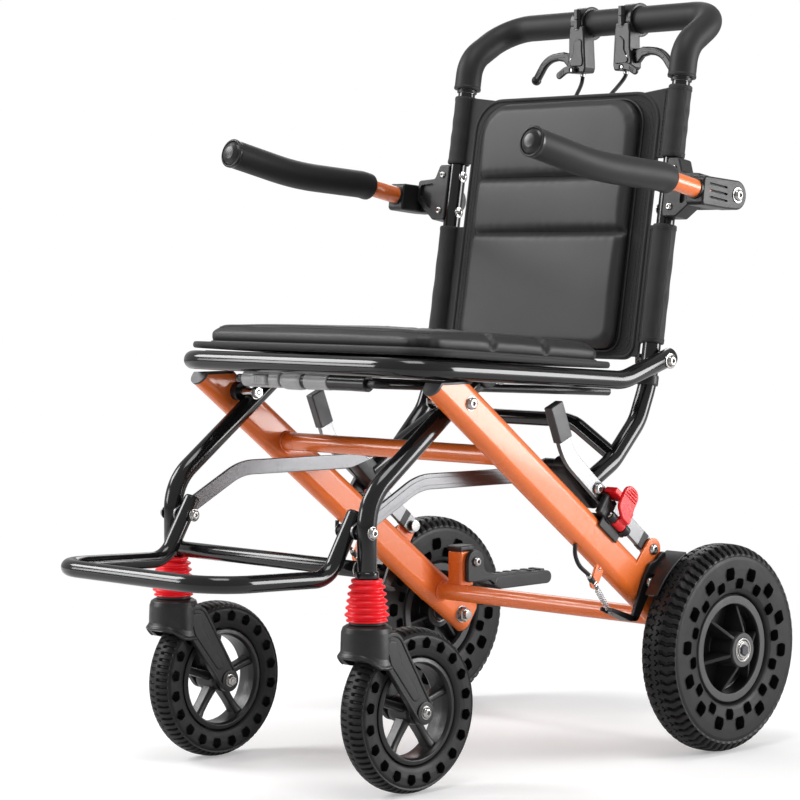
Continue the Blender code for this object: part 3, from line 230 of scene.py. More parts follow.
meshCloth = wovenCloth("meshCloth", (0.010, 0.010, 0.011), (0.040, 0.040, 0.042), 330)
panelCloth = wovenCloth("panelCloth", (0.014, 0.014, 0.015), (0.034, 0.034, 0.035), 420, 0.62)
thread = wovenCloth("thread", (0.020, 0.020, 0.021), (0.060, 0.060, 0.062), 900, 0.6)
cableCover = moulded("cableCover", (0.008, 0.008, 0.009), (0.014, 0.014, 0.015), 0.46, 1200, 0.00003,
                     Specular_IOR_Level=0.35)
print("materials made:", len(bpy.data.materials))


# Shape building: every function gives a mesh in millimetres

def at(x, spot):
    # a (y, z) point of the side view at this x
    return Vector((x, spot[0], spot[1]))


def addObject(name, data):
    made = bpy.data.objects.new(name, data)
    bpy.context.scene.collection.objects.link(made)
    return made


def flat(points):
    return [tuple(p)[:2] for p in points]


def onSide(spot, turn=0.0):
    # the side view's plane through a point, turned in that plane
    return Matrix.Translation(spot) @ sideView @ Matrix.Rotation(turn, 4, "Z")


def toMesh(form, stand=None):
    # stand is a matrix, or only a place
    bmesh.ops.recalc_face_normals(form, faces=form.faces)
    if stand is not None:
        form.transform(stand if isinstance(stand, Matrix) else Matrix.Translation(stand))
    made = bpy.data.meshes.new("shape")
    form.to_mesh(made)
    form.free()
    return made


def soften(points, radius, steps=4, closed=False):
    # turns each corner of a line into an arc, a smaller one where the sides are short
    corners = [Vector(p).to_3d() for p in points]
    count = len(corners)
    radii = radius if isinstance(radius, (list, tuple)) else [radius] * count
    path = []
    for i, corner in enumerate(corners):
        back = corners[i - 1] - corner
        ahead = corners[(i + 1) % count] - corner
        half = back.angle(ahead, 0) / 2
        if (not closed and i in (0, count - 1)) or radii[i] <= 0 or half > 1.565 or half < 0.01:
            path.append(corner)
            continue
        trim = min(radii[i] / math.tan(half), min(back.length, ahead.length) * 0.49)
        center = corner + (back.normalized() + ahead.normalized()).normalized() * trim / math.cos(half)
        first = corner + back.normalized() * trim - center
        last = corner + ahead.normalized() * trim - center
        turn = first.angle(last)
        for k in range(steps + 1):
            share = k / steps
            path.append(center + (first * math.sin((1 - share) * turn) + last * math.sin(share * turn))
                        / math.sin(turn))
    return path


def acrossMiddle(half):
    # a line over the whole chair from its left half, which starts at the side
    return [*half, *[(-x, y, z) for x, y, z in half[::-1]]]


def curveThrough(points, steps=8):
    # a smooth line through these points
    points = [Vector(p) for p in points]
    line = [2 * points[0] - points[1]] + points + [2 * points[-1] - points[-2]]
    path = []
    for a, b, c, d in zip(line, line[1:], line[2:], line[3:]):
        for k in range(steps):
            t = k / steps
            path.append(0.5 * ((2 * b) + (c - a) * t + (2 * a - 5 * b + 4 * c - d) * t * t
                               + (3 * b - a - 3 * c + d) * t ** 3))
    return path + [points[-1]]


def arc(center, radius, start, end, steps):
    angles = [math.radians(start + (end - start) * i / steps) for i in range(steps + 1)]
    return [(center[0] + radius * math.cos(a), center[1] + radius * math.sin(a)) for a in angles]


def strap(first, second, firstR, secondR, steps=14):
    # the outline round two circles
    way = Vector(second) - Vector(first)
    heading = math.degrees(math.atan2(way.y, way.x))
    spread = math.degrees(math.acos((firstR - secondR) / way.length))
    return (arc(first, firstR, heading + spread, heading + 360 - spread, steps)
            + arc(second, secondR, heading - spread, heading + spread, steps))


def ribbon(points, width, steps=10):
    # the outline of a flat bar with round ends along a side-view path
    path = [Vector(p).to_2d() for p in points]
    headings = [(b - a).normalized() for a, b in zip(path, path[1:])]
    left, right = [], []
    for i in range(1, len(path) - 1):
        across = (headings[i - 1] + headings[i]).normalized()
        normal = Vector((-across.y, across.x))
        left.append(path[i] + normal * width / 2)
        right.append(path[i] - normal * width / 2)
    start = math.degrees(math.atan2(headings[0].y, headings[0].x))
    end = math.degrees(math.atan2(headings[-1].y, headings[-1].x))
    head = arc(path[0], width / 2, start + 90, start + 270, steps)
    tail = arc(path[-1], width / 2, end - 90, end + 90, steps)
    return head + right + tail + left[::-1]


def sweep(path, section, closed=False, sizes=None, up=(0, 0, 1)):
    # carries a flat section along a path without twisting it
    points = [Vector(p) for p in path]
    count = len(points)
    ways = []
    for i in range(count):
        before = points[i - 1] if closed or i else points[0]
        after = points[(i + 1) % count] if closed or i < count - 1 else points[-1]
        ways.append((after - before).normalized())
    normal = Vector(up) - ways[0] * ways[0].dot(Vector(up))
    if normal.length < 0.05:
        normal = ways[0].orthogonal()
    normal.normalize()
    section = flat(section)
    form = bmesh.new()
    rings = []
    for i, point in enumerate(points):
        if i:
            normal = ways[i - 1].rotation_difference(ways[i]) @ normal
        side = ways[i].cross(normal)
        size = sizes[i] if sizes else 1
        rings.append([form.verts.new(point + (normal * b + side * a) * size) for a, b in section])
    pairs = list(zip(rings, rings[1:])) + ([(rings[-1], rings[0])] if closed else [])
    sides = len(section)
    for low, high in pairs:
        for k in range(sides):
            form.faces.new((low[k], low[(k + 1) % sides], high[(k + 1) % sides], high[k]))
    if not closed:
        form.faces.new(rings[0])
        form.faces.new(rings[-1])
    return toMesh(form)


def roundTube(path, radius, sides=24, closed=False, roundEnds=0.0):
    # a round bar; roundEnds is how far its end edges are rounded
    points = [Vector(p) for p in path]
    sizes = None
    if roundEnds:
        first, last = (points[1] - points[0]).normalized(), (points[-1] - points[-2]).normalized()
        steps = [(roundEnds * (1 - math.cos(a)), 1 - roundEnds / radius * (1 - math.sin(a)))
                 for a in (0, math.pi / 8, math.pi / 4, math.pi * 3 / 8)]
        points = ([points[0] + first * reach for reach, size in steps] + [points[0] + first * roundEnds]
                  + points[1:-1]
                  + [points[-1] - last * roundEnds] + [points[-1] - last * reach for reach, size in steps[::-1]])
        inner = len(points) - 2 * len(steps)
        sizes = [size for reach, size in steps] + [1] * inner + [size for reach, size in steps[::-1]]
    return sweep(points, arc((0, 0), radius, 0, 360 - 360 / sides, sides - 1), closed, sizes)


def lathe(profile, stand=None, steps=48, closed=False):
    # turns a (radius, height) line about the local z axis
    form = bmesh.new()
    rings = [[form.verts.new((r * math.cos(2 * math.pi * k / steps), r * math.sin(2 * math.pi * k / steps), h))
              for k in range(steps)] for r, h in flat(profile)]
    for low, high in list(zip(rings, rings[1:])) + ([(rings[-1], rings[0])] if closed else []):
        for k in range(steps):
            form.faces.new((low[k], low[(k + 1) % steps], high[(k + 1) % steps], high[k]))
    bmesh.ops.remove_doubles(form, verts=form.verts, dist=0.0005)
    return toMesh(form, stand)


def pointing(start, end):
    # the matrix that stands the local z axis on start, towards end
    way = Vector(end) - Vector(start)
    return Matrix.Translation(Vector(start)) @ way.to_track_quat("Z", "X").to_matrix().to_4x4()


def rod(start, end, radius, edge=0.6, sides=32, bore=0.0):
    length = (Vector(end) - Vector(start)).length
    line = [(bore, 0), (radius, 0), (radius, length), (bore, length)]
    return lathe(soften(line, [0, edge, edge, 0], 2), pointing(start, end), sides, closed=bore > 0)


def crossRod(spot, fromX, toX, radius, edge=0.6, sides=32, bore=0.0):
    return rod(at(fromX, spot), at(toX, spot), radius, edge, sides, bore)


def hexNut(point, way, width, height, stud=2.5):
    # a nut on a washer, with the thread's end standing out of it
    way = Vector(way).normalized()
    point = Vector(point)
    r = width / 2 / math.cos(math.pi / 6)
    nut = lathe([(0, 0), (r * 0.95, 0), (r, 0.5), (r, height - 0.9), (r * 0.86, height), (0, height)],
                pointing(point + way * 0.9, point + way * 2), 6)
    washer = rod(point, point + way * 0.9, width * 0.66, 0.3)
    thread = [(0, 0)]
    for k in range(int(stud / 0.5) + 1):
        thread += [(width * 0.29, k * 0.5), (width * 0.26, k * 0.5 + 0.25)]
    thread.append((0, thread[-1][1] + 0.1))
    end = lathe(thread, pointing(point + way * (height + 0.7), point + way * 40), 18)
    return [nut, washer, end]


def socketHead(point, way, radius, height):
    # a button head with a six-sided recess
    apothem = radius * 0.38
    steps = 24
    form = bmesh.new()
    rings = []
    line = [(radius, 0, 0), (radius, height * 0.25, 0), (radius * 0.93, height * 0.62, 0),
            (radius * 0.78, height * 0.9, 0), (radius * 0.60, height, 0), (apothem, height * 0.98, 1),
            (apothem, height * 0.35, 1), (0.01, height * 0.3, 0)]
    for size, level, isHex in line:
        ring = []
        for k in range(steps):
            angle = 2 * math.pi * k / steps
            r = size / math.cos((angle + math.pi / 6) % (math.pi / 3) - math.pi / 6) if isHex else size
            ring.append(form.verts.new((r * math.cos(angle), r * math.sin(angle), level)))
        rings.append(ring)
    for low, high in zip(rings, rings[1:]):
        for k in range(steps):
            form.faces.new((low[k], low[(k + 1) % steps], high[(k + 1) % steps], high[k]))
    form.faces.new(rings[0])
    form.faces.new(rings[-1])
    return toMesh(form, pointing(point, Vector(point) + Vector(way).normalized()))


def sideHead(spot, x, side, radius, height):
    return socketHead(at(x, spot), (side, 0, 0), radius, height)


def sideNut(spot, x, side, *sizes):
    return hexNut(at(x, spot), (side, 0, 0), *sizes)


def plate(outline, thickness, stand, holes=(), edge=0.8, edgeSteps=3):
    # a flat piece with rounded edges, its thickness shared by both sides of its plane
    curve = bpy.data.curves.new("plate", "CURVE")
    curve.dimensions = "2D"
    curve.fill_mode = "BOTH"
    edge = min(edge, thickness * 0.49)
    curve.extrude = thickness / 2 - edge
    curve.bevel_depth = edge
    curve.bevel_resolution = edgeSteps
    curve.offset = -edge
    for loop in (outline, *holes):
        spline = curve.splines.new("POLY")
        spline.points.add(len(loop) - 1)
        for point, spot in zip(spline.points, loop):
            point.co = (spot[0], spot[1], 0, 1)
        spline.use_cyclic_u = True
    holder = addObject("plate", curve)
    mesh = bpy.data.meshes.new_from_object(holder.evaluated_get(bpy.context.evaluated_depsgraph_get()))
    bpy.data.objects.remove(holder)
    bpy.data.curves.remove(curve)
    form = bmesh.new()
    form.from_mesh(mesh)
    bpy.data.meshes.remove(mesh)
    bmesh.ops.remove_doubles(form, verts=form.verts, dist=0.0008)
    return toMesh(form, stand)


def sidePlate(outline, innerX, outerX, **options):
    return plate(outline, abs(outerX - innerX), onSide(((innerX + outerX) / 2, 0, 0)), **options)


def block(size, stand, edge=1.0, steps=3):
    form = bmesh.new()
    bmesh.ops.create_cube(form, size=1, matrix=Matrix.Diagonal((*size, 1)))
    bmesh.ops.bevel(form, geom=form.edges, offset=edge, segments=steps, profile=0.5, affect="EDGES")
    return toMesh(form, stand)


def joined(meshes):
    form = bmesh.new()
    for mesh in meshes:
        form.from_mesh(mesh)
        bpy.data.meshes.remove(mesh)
    made = bpy.data.meshes.new("shape")
    form.to_mesh(made)
    form.free()
    return made


def carve(mesh, tools, operation="DIFFERENCE"):
    # cuts the tools out of a mesh
    target, tool = addObject("target", mesh), addObject("tool", joined(tools))
    cut = target.modifiers.new("cut", "BOOLEAN")
    cut.operation, cut.object, cut.solver = operation, tool, "EXACT"
    made = bpy.data.meshes.new_from_object(target.evaluated_get(bpy.context.evaluated_depsgraph_get()))
    for obj in (target, tool):
        data = obj.data
        bpy.data.objects.remove(obj)
        bpy.data.meshes.remove(data)
    return made


def weldBead(center, way, radius, size=1.7):
    # the rippled bead where one tube is welded to another
    center = Vector(center)
    turn = pointing(center, center + Vector(way))
    steps = 72
    ring = [turn @ Vector((x, y, 0)) for x, y in arc((0, 0), radius, 0, 360 - 360 / steps, steps - 1)]
    return sweep(ring, arc((0, 0), size, 0, 315, 7), True, [1 + 0.13 * (k % 3 - 1) for k in range(steps)])


def mirrorMesh(mesh, x=0):
    # the mirror image in the plane across the chair at x
    other = mesh.copy()
    other.transform(Matrix.Translation((2 * x, 0, 0)) @ Matrix.Scale(-1, 4, (1, 0, 0)))
    other.flip_normals()
    return other


mouldedEdge = 34


def addPiece(name, body, parts, replaces=(), slot="black_plastic", sharp=mouldedEdge, weighted=None):
    # joins meshes with their materials into one object on one body of the frame; moulded pieces have
    # normals weighted by their flat faces
    form = bmesh.new()
    materials = []
    for mesh, material in parts:
        if material not in materials:
            materials.append(material)
        start = len(form.faces)
        form.from_mesh(mesh)
        form.faces.ensure_lookup_table()
        for face in form.faces[start:]:
            face.material_index = materials.index(material)
    data = bpy.data.meshes.new(name)
    form.to_mesh(data)
    form.free()
    data.transform(toMetres)
    for material in materials:
        data.materials.append(material)
    data.shade_smooth()
    data.set_sharp_from_angle(angle=math.radians(sharp))
    piece = addObject(name, data)
    if weighted or (weighted is None and sharp == mouldedEdge):
        piece.modifiers.new("edges", "WEIGHTED_NORMAL").keep_sharp = True
    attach(piece, body)
    if replaces:
        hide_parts(*replaces)
    return piece


bentTube = {"slot": "black_paint", "sharp": 40}


def addPair(name, body, parts, replaces=(), slot="black_plastic", **options):
    # a left-hand piece and its right-hand twin
    def other(word):
        return word.replace("left", "right")

    left = addPiece(name, body, parts, replaces, slot, **options)
    right = addPiece(other(name), other(body), [(mirrorMesh(mesh), material) for mesh, material in parts],
                     [other(node) for node in replaces], slot, **options)
    return left, right


def bothSides(parts):
    # the parts and their mirror images, for a piece that spans the chair
    return parts + [(mirrorMesh(mesh), material) for mesh, material in parts]


def of(material, *meshes):
    return [(mesh, material) for mesh in meshes]


# Camera, light and floor

stage = {"place": (2.26551, -2.27442, 0.59447), "azimuth": 44.92, "down": 3.03, "lens": 122.2,
         "ambient": 0.34, "toCamera": 0.66, "toGloss": 0.12, "floor": 0.80, "glow": 0.30, "fade": (0.62, 1.25)}
lamps = {  # place, aim, width, height, watts
    "keyLeft": ((-2.3, -1.4, 2.3), (0, 0, 0.45), 1.3, 1.3, 58),
    "frontLeft": ((-2.1, -2.4, 1.0), (0, 0, 0.5), 1.1, 0.9, 26),
    "boxRight": ((2.5, 2.2, 0.95), (0.1, -0.05, 0.45), 1.3, 1.7, 84),
    "topSoft": ((0.5, -0.4, 2.9), (0, -0.1, 0.4), 1.0, 1.3, 26),
    "behind": ((-1.9, 2.2, 1.9), (0, 0, 0.5), 1.2, 1.2, 12),
}


def makeStage():
    data = bpy.data.cameras.new("camera")
    data.lens, data.sensor_width, data.clip_end = stage["lens"], 36, 60
    camera = addObject("camera", data)
    camera.location = stage["place"]
    camera.rotation_euler = (math.radians(90 - stage["down"]), 0, math.radians(stage["azimuth"]))
    bpy.context.scene.camera = camera
    bpy.context.scene.view_settings.view_transform = "Standard"

    # the background is white to the camera, and dimmer as a light and in reflections
    world = bpy.data.worlds.new("studio")
    world.use_nodes = True
    bpy.context.scene.world = world
    sky = nodeTree(world.node_tree)
    background = world.node_tree.nodes["Background"]
    seen, mirrored = [sky.node("ShaderNodeLightPath", output=ray) for ray in ("Is Camera Ray", "Is Glossy Ray")]
    sky.plug(background.inputs["Color"], (1, 1, 1))
    sky.plug(background.inputs["Strength"],
             stage["ambient"] + stage["toCamera"] * seen + stage["toGloss"] * mirrored)

    for name, (place, aim, width, height, watts) in lamps.items():
        lamp = bpy.data.lights.new(name, "AREA")
        lamp.shape, lamp.size, lamp.size_y, lamp.energy = "RECTANGLE", width, height, watts
        holder = addObject(name, lamp)
        holder.location = place
        holder.rotation_euler = (Vector(aim) - Vector(place)).to_track_quat("-Z", "Y").to_euler()

    # The floor glows a little to the camera alone and is plain white far from the chair, so that
    # it joins the background and keeps the shadow
    sheet = bpy.data.meshes.new("floor")
    sheet.from_pydata([(-14, -14, 0), (14, -14, 0), (14, 14, 0), (-14, 14, 0)], [], [(0, 1, 2, 3)])
    floor = addObject("floor", sheet)
    floor.location.z = -0.0004
    grey = stage["floor"]
    paint = finish("floorPaint", 0.9, Base_Color=(grey, grey, grey), Specular_IOR_Level=0.0)
    plain = wire(paint, paint.shader.outputs[0])
    glow = paint.node("ShaderNodeEmission", {}, {"Strength": stage["glow"]})
    near = paint.node("ShaderNodeAddShader", {}, {0: plain, 1: glow})
    spot = paint.node("ShaderNodeTexCoord", output="Object")
    away = paint.node("ShaderNodeVectorMath", {"operation": "LENGTH"}, {0: spot}, "Value")
    fade = paint.node("ShaderNodeMapRange", {"interpolation_type": "SMOOTHSTEP"},
                      {"Value": away, "From Min": stage["fade"][0], "From Max": stage["fade"][1]})
    seen = paint.node("ShaderNodeMixShader", {}, {0: fade, 1: near, 2: paint.node("ShaderNodeEmission")})
    ray = paint.node("ShaderNodeLightPath", output="Is Camera Ray")
    shown = paint.node("ShaderNodeMixShader", {}, {0: ray, 1: plain, 2: seen})
    paint.plug(paint.tree.nodes["Material Output"].inputs["Surface"], shown)
    sheet.materials.append(paint.material)


makeStage()
print("stage made")

# The pivots and lines that the pieces share with the frame, as (y, z) in the side view
legPivot = (-394, 432)
seatPivot = (-330, 460)
backPivot = (-55, 470)
leverPivot = (-78, 246)
leverTip = (-175, 324)
linkRear = (-205, 350)
footPivot = (-514, 294)
rearAxle = (0, 125)
casterAxle = (-449, 92.5)
brakePivot = (-92, 208)
cableStop = (-178, 213)
springFoot = (-151, 180)
cablePull = Vector((27, -33)).normalized()
fittingFoot = (-163, 311)
backFoot = (-57.5, 440)
backTop = (3.8, 805)
armX = 194.5
legX = 162.2
legY = -512
seatX = 201.5
backX = 178.5
leverX = 199
wheelX = 244


# Side arms

sideArm = {"width": 24, "height": 46, "line": ((-436, 461), (-60, 176.5), (20, 119.5)), "bend": 90, "trim": 455.5,
           "lug": (202.7, 206.3), "tab": (197.4, 200.8), "plug": 1.8, "clampY": -155}


def armFrame(y):
    # the arm's axis at this y, and the directions down its length and square above it
    top, bend = Vector(sideArm["line"][0]), Vector(sideArm["line"][1])
    down = (bend - top).normalized()
    return top.lerp(bend, (y - top.x) / (bend.x - top.x)), down, Vector((-down.y, down.x))


def racetrack(width, height):
    # the arm's flat-oval section
    reach = (height - width) / 2
    return arc((0, reach), width / 2, 0, 180, 14) + arc((0, -reach), width / 2, 180, 360, 14)


def makeArms():
    high, bend, end = [Vector(p) for p in sideArm["line"]]
    clampSpot, down, up = armFrame(sideArm["clampY"])
    stop = Vector(cableStop)

    def stretch(spot, way, back, ahead, extra):
        # a length of the arm's own section, wider by extra
        return sweep([at(armX, spot - way * back), at(armX, spot + way * ahead)],
                     racetrack(sideArm["width"] + extra, sideArm["height"] + extra))

    def levelCut():
        return [block((60, 200, 60), (armX, high.x, sideArm["trim"] + 30), 0.01, 1)]

    line = soften([at(armX, p) for p in sideArm["line"]], sideArm["bend"], 8)
    tube = carve(sweep(line, racetrack(sideArm["width"], sideArm["height"])), levelCut())
    plug = stretch(end, (end - bend).normalized(), 0.8, sideArm["plug"], -1.4)
    # the top end: a cap over the cut face and a thin lid over the level cut behind it
    cap = carve(stretch(high, down, 1.2, 1.6, 0.6), levelCut())
    lid = carve(stretch(high, down, 1.1, 60, 0.5),
                [block((60, 200, 2.6), (armX, high.x, sideArm["trim"] - 0.6), 0.01, 1)], "INTERSECT")
    orange = [
        tube,
        sidePlate(strap(leverPivot, Vector(leverPivot) - 42 * up, 13.5, 17, 20), *sideArm["lug"], edge=0.9),
        sidePlate(strap(cableStop, (-160, 246), 6, 9), *sideArm["tab"], edge=0.6),
        crossRod(brakePivot, armX + 11, 207.4, 6.4),
    ]
    black = [plug, lid,
             crossRod(legPivot, 173.6, 184, 11, 1), crossRod(rearAxle, 205.5, 222, 10, 1),
             rod(at(leverX, stop - 10 * cablePull), at(leverX, stop - 1.7 * cablePull), 3.6, 0.5)]
    steel = [
        crossRod(leverPivot, 192, 205, 4), sideHead(leverPivot, 206.2, 1, 7, 3.6),
        crossRod(legPivot, 146.6, 190, 5), crossRod(legPivot, 206.3, 207.1, 8.6, 0.3),
        sideHead(legPivot, 207, 1, 7.4, 4.2),
        crossRod(rearAxle, 170, wheelX + 37.6, 6), *sideNut(rearAxle, 182.4, -1, 17, 7, 4),
        crossRod(rearAxle, wheelX + 37.5, wheelX + 38.5, 9.4, 0.3),
        crossRod(brakePivot, 206, 214, 4), sideHead(brakePivot, 213.2, 1, 6.6, 4.4),
        *sideNut(leverPivot, 190.4, 1, 11, 3.5, 0.5), *sideNut(legPivot, 147.4, -1, 13, 4.2, 0.8),
    ]
    # the cable adjuster's two lock nuts and its threads, in steps along the cable
    farAlong = at(leverX, stop + 90 * cablePull)
    for shift in (-1.6, 1.9):
        steel.append(lathe([(0, 0), (4.4, 0), (4.6, 0.4), (4.6, 1.5), (4.2, 1.9), (0, 1.9)],
                           pointing(at(leverX, stop + cablePull * (shift - 0.6)), farAlong), 6))
    threads = []
    for k in range(10):
        threads += [(3.3, 0.65 * k), (2.9, 0.65 * k + 0.33)]
    steel.append(lathe([(0, 0)] + threads + [(0, 6.6)], pointing(at(leverX, stop + 1.6 * cablePull), farAlong), 20))
    dark = [lathe([(0, 0), (6.6, 0), (6.9, 0.4), (6.9, 1.7), (6.1, 2.2), (0, 2.2)],
                  pointing(at(wheelX + 38.4, rearAxle), at(400, rearAxle)), 6)]
    # the small bolt that clamps the cable under the arm, in its boss
    clampSpot -= up * 23
    steel += hexNut(at(armX + 3, clampSpot), (0, -up.x, -up.y), 7, 3, 3.2)
    orange.append(rod(at(armX + 3, clampSpot + up * 2), at(armX + 3, clampSpot - up * 1.2), 4.6, 0.4))
    parts = of(orangeEnamel, *orange) + of(blackPlastic, *black) + of(darkGreyPlastic, cap)
    parts += of(boltSteel, *steel) + of(darkSteel, *dark)
    addPair("side_arm_left", "frame", parts, ["arm_left"], "orange_paint")


crossTubes = {"radius": 11, "upper": (-312, 368), "lower": (-37, 159), "reach": 182.2}
tipPost = {"x": -160, "size": (24, 25, 46), "middle": (-26, 190), "cap": (24.6, 27, 8)}
tipPivot = (-17, 199)


def makeCrossTubes():
    reach, x = crossTubes["reach"], tipPost["x"]
    for which in ("upper", "lower"):
        spot = crossTubes[which]
        parts = of(orangeEnamel, crossRod(spot, -reach, reach, crossTubes["radius"], 0.2, 40))
        for s in (1, -1):
            parts += of(orangeEnamel, weldBead(at(s * (reach - 0.9), spot), (1, 0, 0), 11.4, 1.7))
        if which == "lower":
            parts += of(orangeEnamel, block(tipPost["size"], at(x, tipPost["middle"]), 3, 4))
            parts += of(blackPlastic, block(tipPost["cap"], (x, -26, 216), 2.4, 4))
            parts += of(boltSteel, crossRod(tipPivot, x, x + 21.6, 4), sideHead(tipPivot, x + 19.8, 1, 6.5, 4.2))
        addPiece("cross_tube_" + which, "frame", parts, ["cross_tube_" + which], "orange_paint")


tipPedal = {"cheek": 6.5, "grooves": 5, "groovePitch": 17}


def makeTipPedal():
    x = tipPost["x"] + 12.8
    outline = arc(tipPivot, 15, 0, 180, 16)
    outline += [(-32, 172.5), (10, 172.5), (24, 163.5), (90, 160.5), (90, 178), (20, 179.5), (2, 185), (-2, 192)]
    cheek = sidePlate(outline[:17] + soften(outline[16:] + outline[:1], 4, 4)[1:-1],
                      x, x + tipPedal["cheek"], holes=[arc(tipPivot, 4.6, 0, 350, 24)], edge=1.2)
    tread = sidePlate([(16, 166), (30, 159)] + arc((121, 167.6), 8.6, -90, 90, 14) + [(24, 176.6)],
                      tipPost["x"] - 13, x + 6.9, edge=1.6)
    bars = [block((22, 9, 3.4), (tipPost["x"] + 1.2, 34 + tipPedal["groovePitch"] * k, 176.4), 1)
            for k in range(tipPedal["grooves"] + 1)]
    addPiece("tip_pedal_lever", "tip_pedal", of(blackPlastic, cheek, tread, *bars), ["tip_pedal"])


# Rear wheels

rearWheel = {"ribs": 6, "ribTurn": 15, "treadRepeats": 66, "treadDepth": 4.2, "treadSteps": 11,
             "holeRows": ((78.5, 0, 1.0), (91, 0.5, 1.17)), "holes": 14, "boss": 37}
casterWheel = {"spokes": 5, "spokeTurn": 18, "treadRepeats": 72, "treadDepth": 3.0, "treadSteps": 8,
               "holes": 20}


def bothHalves(line):
    # a wheel's profile from the half on one side of its middle plane
    return line + [(r, -h) for r, h in line[::-1]]


def smoothStep(low, high, value):
    t = max(0.0, min(1.0, (value - low) / (high - low)))
    return t * t * (3 - 2 * t)


def rearTread(turn, x):
    # how deep the tread is cut, from 0 to 1, at this share of a repeat and this distance from the middle
    side = abs(x)
    if side < 8.6:
        # two rows of small arrow-shaped cuts, half a repeat apart
        u = (turn + (0.5 if x < 0 else 0)) % 1 - 0.5
        v = abs(u) * 12.2
        line = abs((side - 3.6) - (3.4 - v * 1.15))
        return (1 - smoothStep(0.5, 1.25, line)) * (1 - smoothStep(2.9, 3.8, v)) * smoothStep(0.9, 1.7, side)
    # wavy ribs from the middle out to the shoulder
    wave = 0.11 * math.sin((side - 8.6) * 0.55) - 0.02 * max(side - 17, 0)
    u = (turn + (0.5 if x < 0 else 0) + wave) % 1 - 0.5
    groove = 1 - smoothStep(0.14, 0.24, abs(u))
    return groove * smoothStep(8.6, 9.8, side) * (1 - smoothStep(24.0, 24.7, side))


def casterTread(turn, x):
    # rounded slots across each side of a plain middle band
    side = abs(x)
    u = ((turn + (0.5 if x < 0 else 0)) % 1 - 0.5) * 8.05
    inside = max(abs(side - 9.8) - 6.6, 0)
    reach = math.hypot(u, inside)
    return (1 - smoothStep(1.0, 1.95, reach)) * (1 - smoothStep(15.4, 16.8, side))


def treadBand(radiusAt, halfWidth, pitch, tread, repeats, stepsEach, depth, matrix):
    # the running surface: a fine strip whose points sink where the tread is cut
    count = int(2 * halfWidth / pitch)
    form = bmesh.new()
    across = [-halfWidth + 2 * halfWidth * i / count for i in range(count + 1)]
    steps = repeats * stepsEach
    rings = []
    for x in across:
        level = radiusAt(x)
        lean = (radiusAt(x + 0.2) - radiusAt(x - 0.2)) / 0.4
        shrink = 1 / math.hypot(1, lean)
        ring = []
        for k in range(steps):
            cut = depth * tread(k / stepsEach, x)
            r, h = level - cut * shrink, x + cut * shrink * lean
            angle = 2 * math.pi * k / steps
            ring.append(form.verts.new((r * math.cos(angle), r * math.sin(angle), h)))
        rings.append(ring)
    for side, low in ((-1, rings[0]), (1, rings[-1])):
        lip = [form.verts.new((v.co.x * 0.97, v.co.y * 0.97, v.co.z - side * 0.8)) for v in low]
        if side < 0:
            rings.insert(0, lip)
        else:
            rings.append(lip)
    for low, high in zip(rings, rings[1:]):
        for k in range(steps):
            form.faces.new((low[k], low[(k + 1) % steps], high[(k + 1) % steps], high[k]))
    return toMesh(form, matrix)


def holedTyre(profile, hub, holes, steps, reach):
    # a turned tyre with holes right through it, and a fine raised lip round each hole on both faces
    outline = soften(profile, 5, 4, closed=True)
    face = sorted(flat(p for p in outline if p.y > 0.5 * reach), key=lambda p: p[0])

    def heightAt(radius):
        best = face[0][1]
        for (r0, h0), (r1, h1) in zip(face, face[1:]):
            if r0 <= radius <= r1:
                best = h0 + (h1 - h0) * (radius - r0) / max(r1 - r0, 1e-6)
        return best

    tools, lips = [], []
    for shape in holes:
        loop = [Vector(p).to_2d() for p in soften(shape, 3.4, 4, closed=True)]
        tools.append(plate(loop, 2 * reach + 12, Matrix.Identity(4), edge=0.01, edgeSteps=0))
        for side in (1, -1):
            ring = [Vector((p.x, p.y, side * (heightAt(p.length) - 0.15))) for p in loop]
            lips.append(sweep(ring, arc((0, 0), 0.62, 0, 315, 7), True))
    body = carve(lathe(outline, None, steps, closed=True), tools)
    body.transform(hub)
    for lip in lips:
        lip.transform(hub)
    return [body] + lips


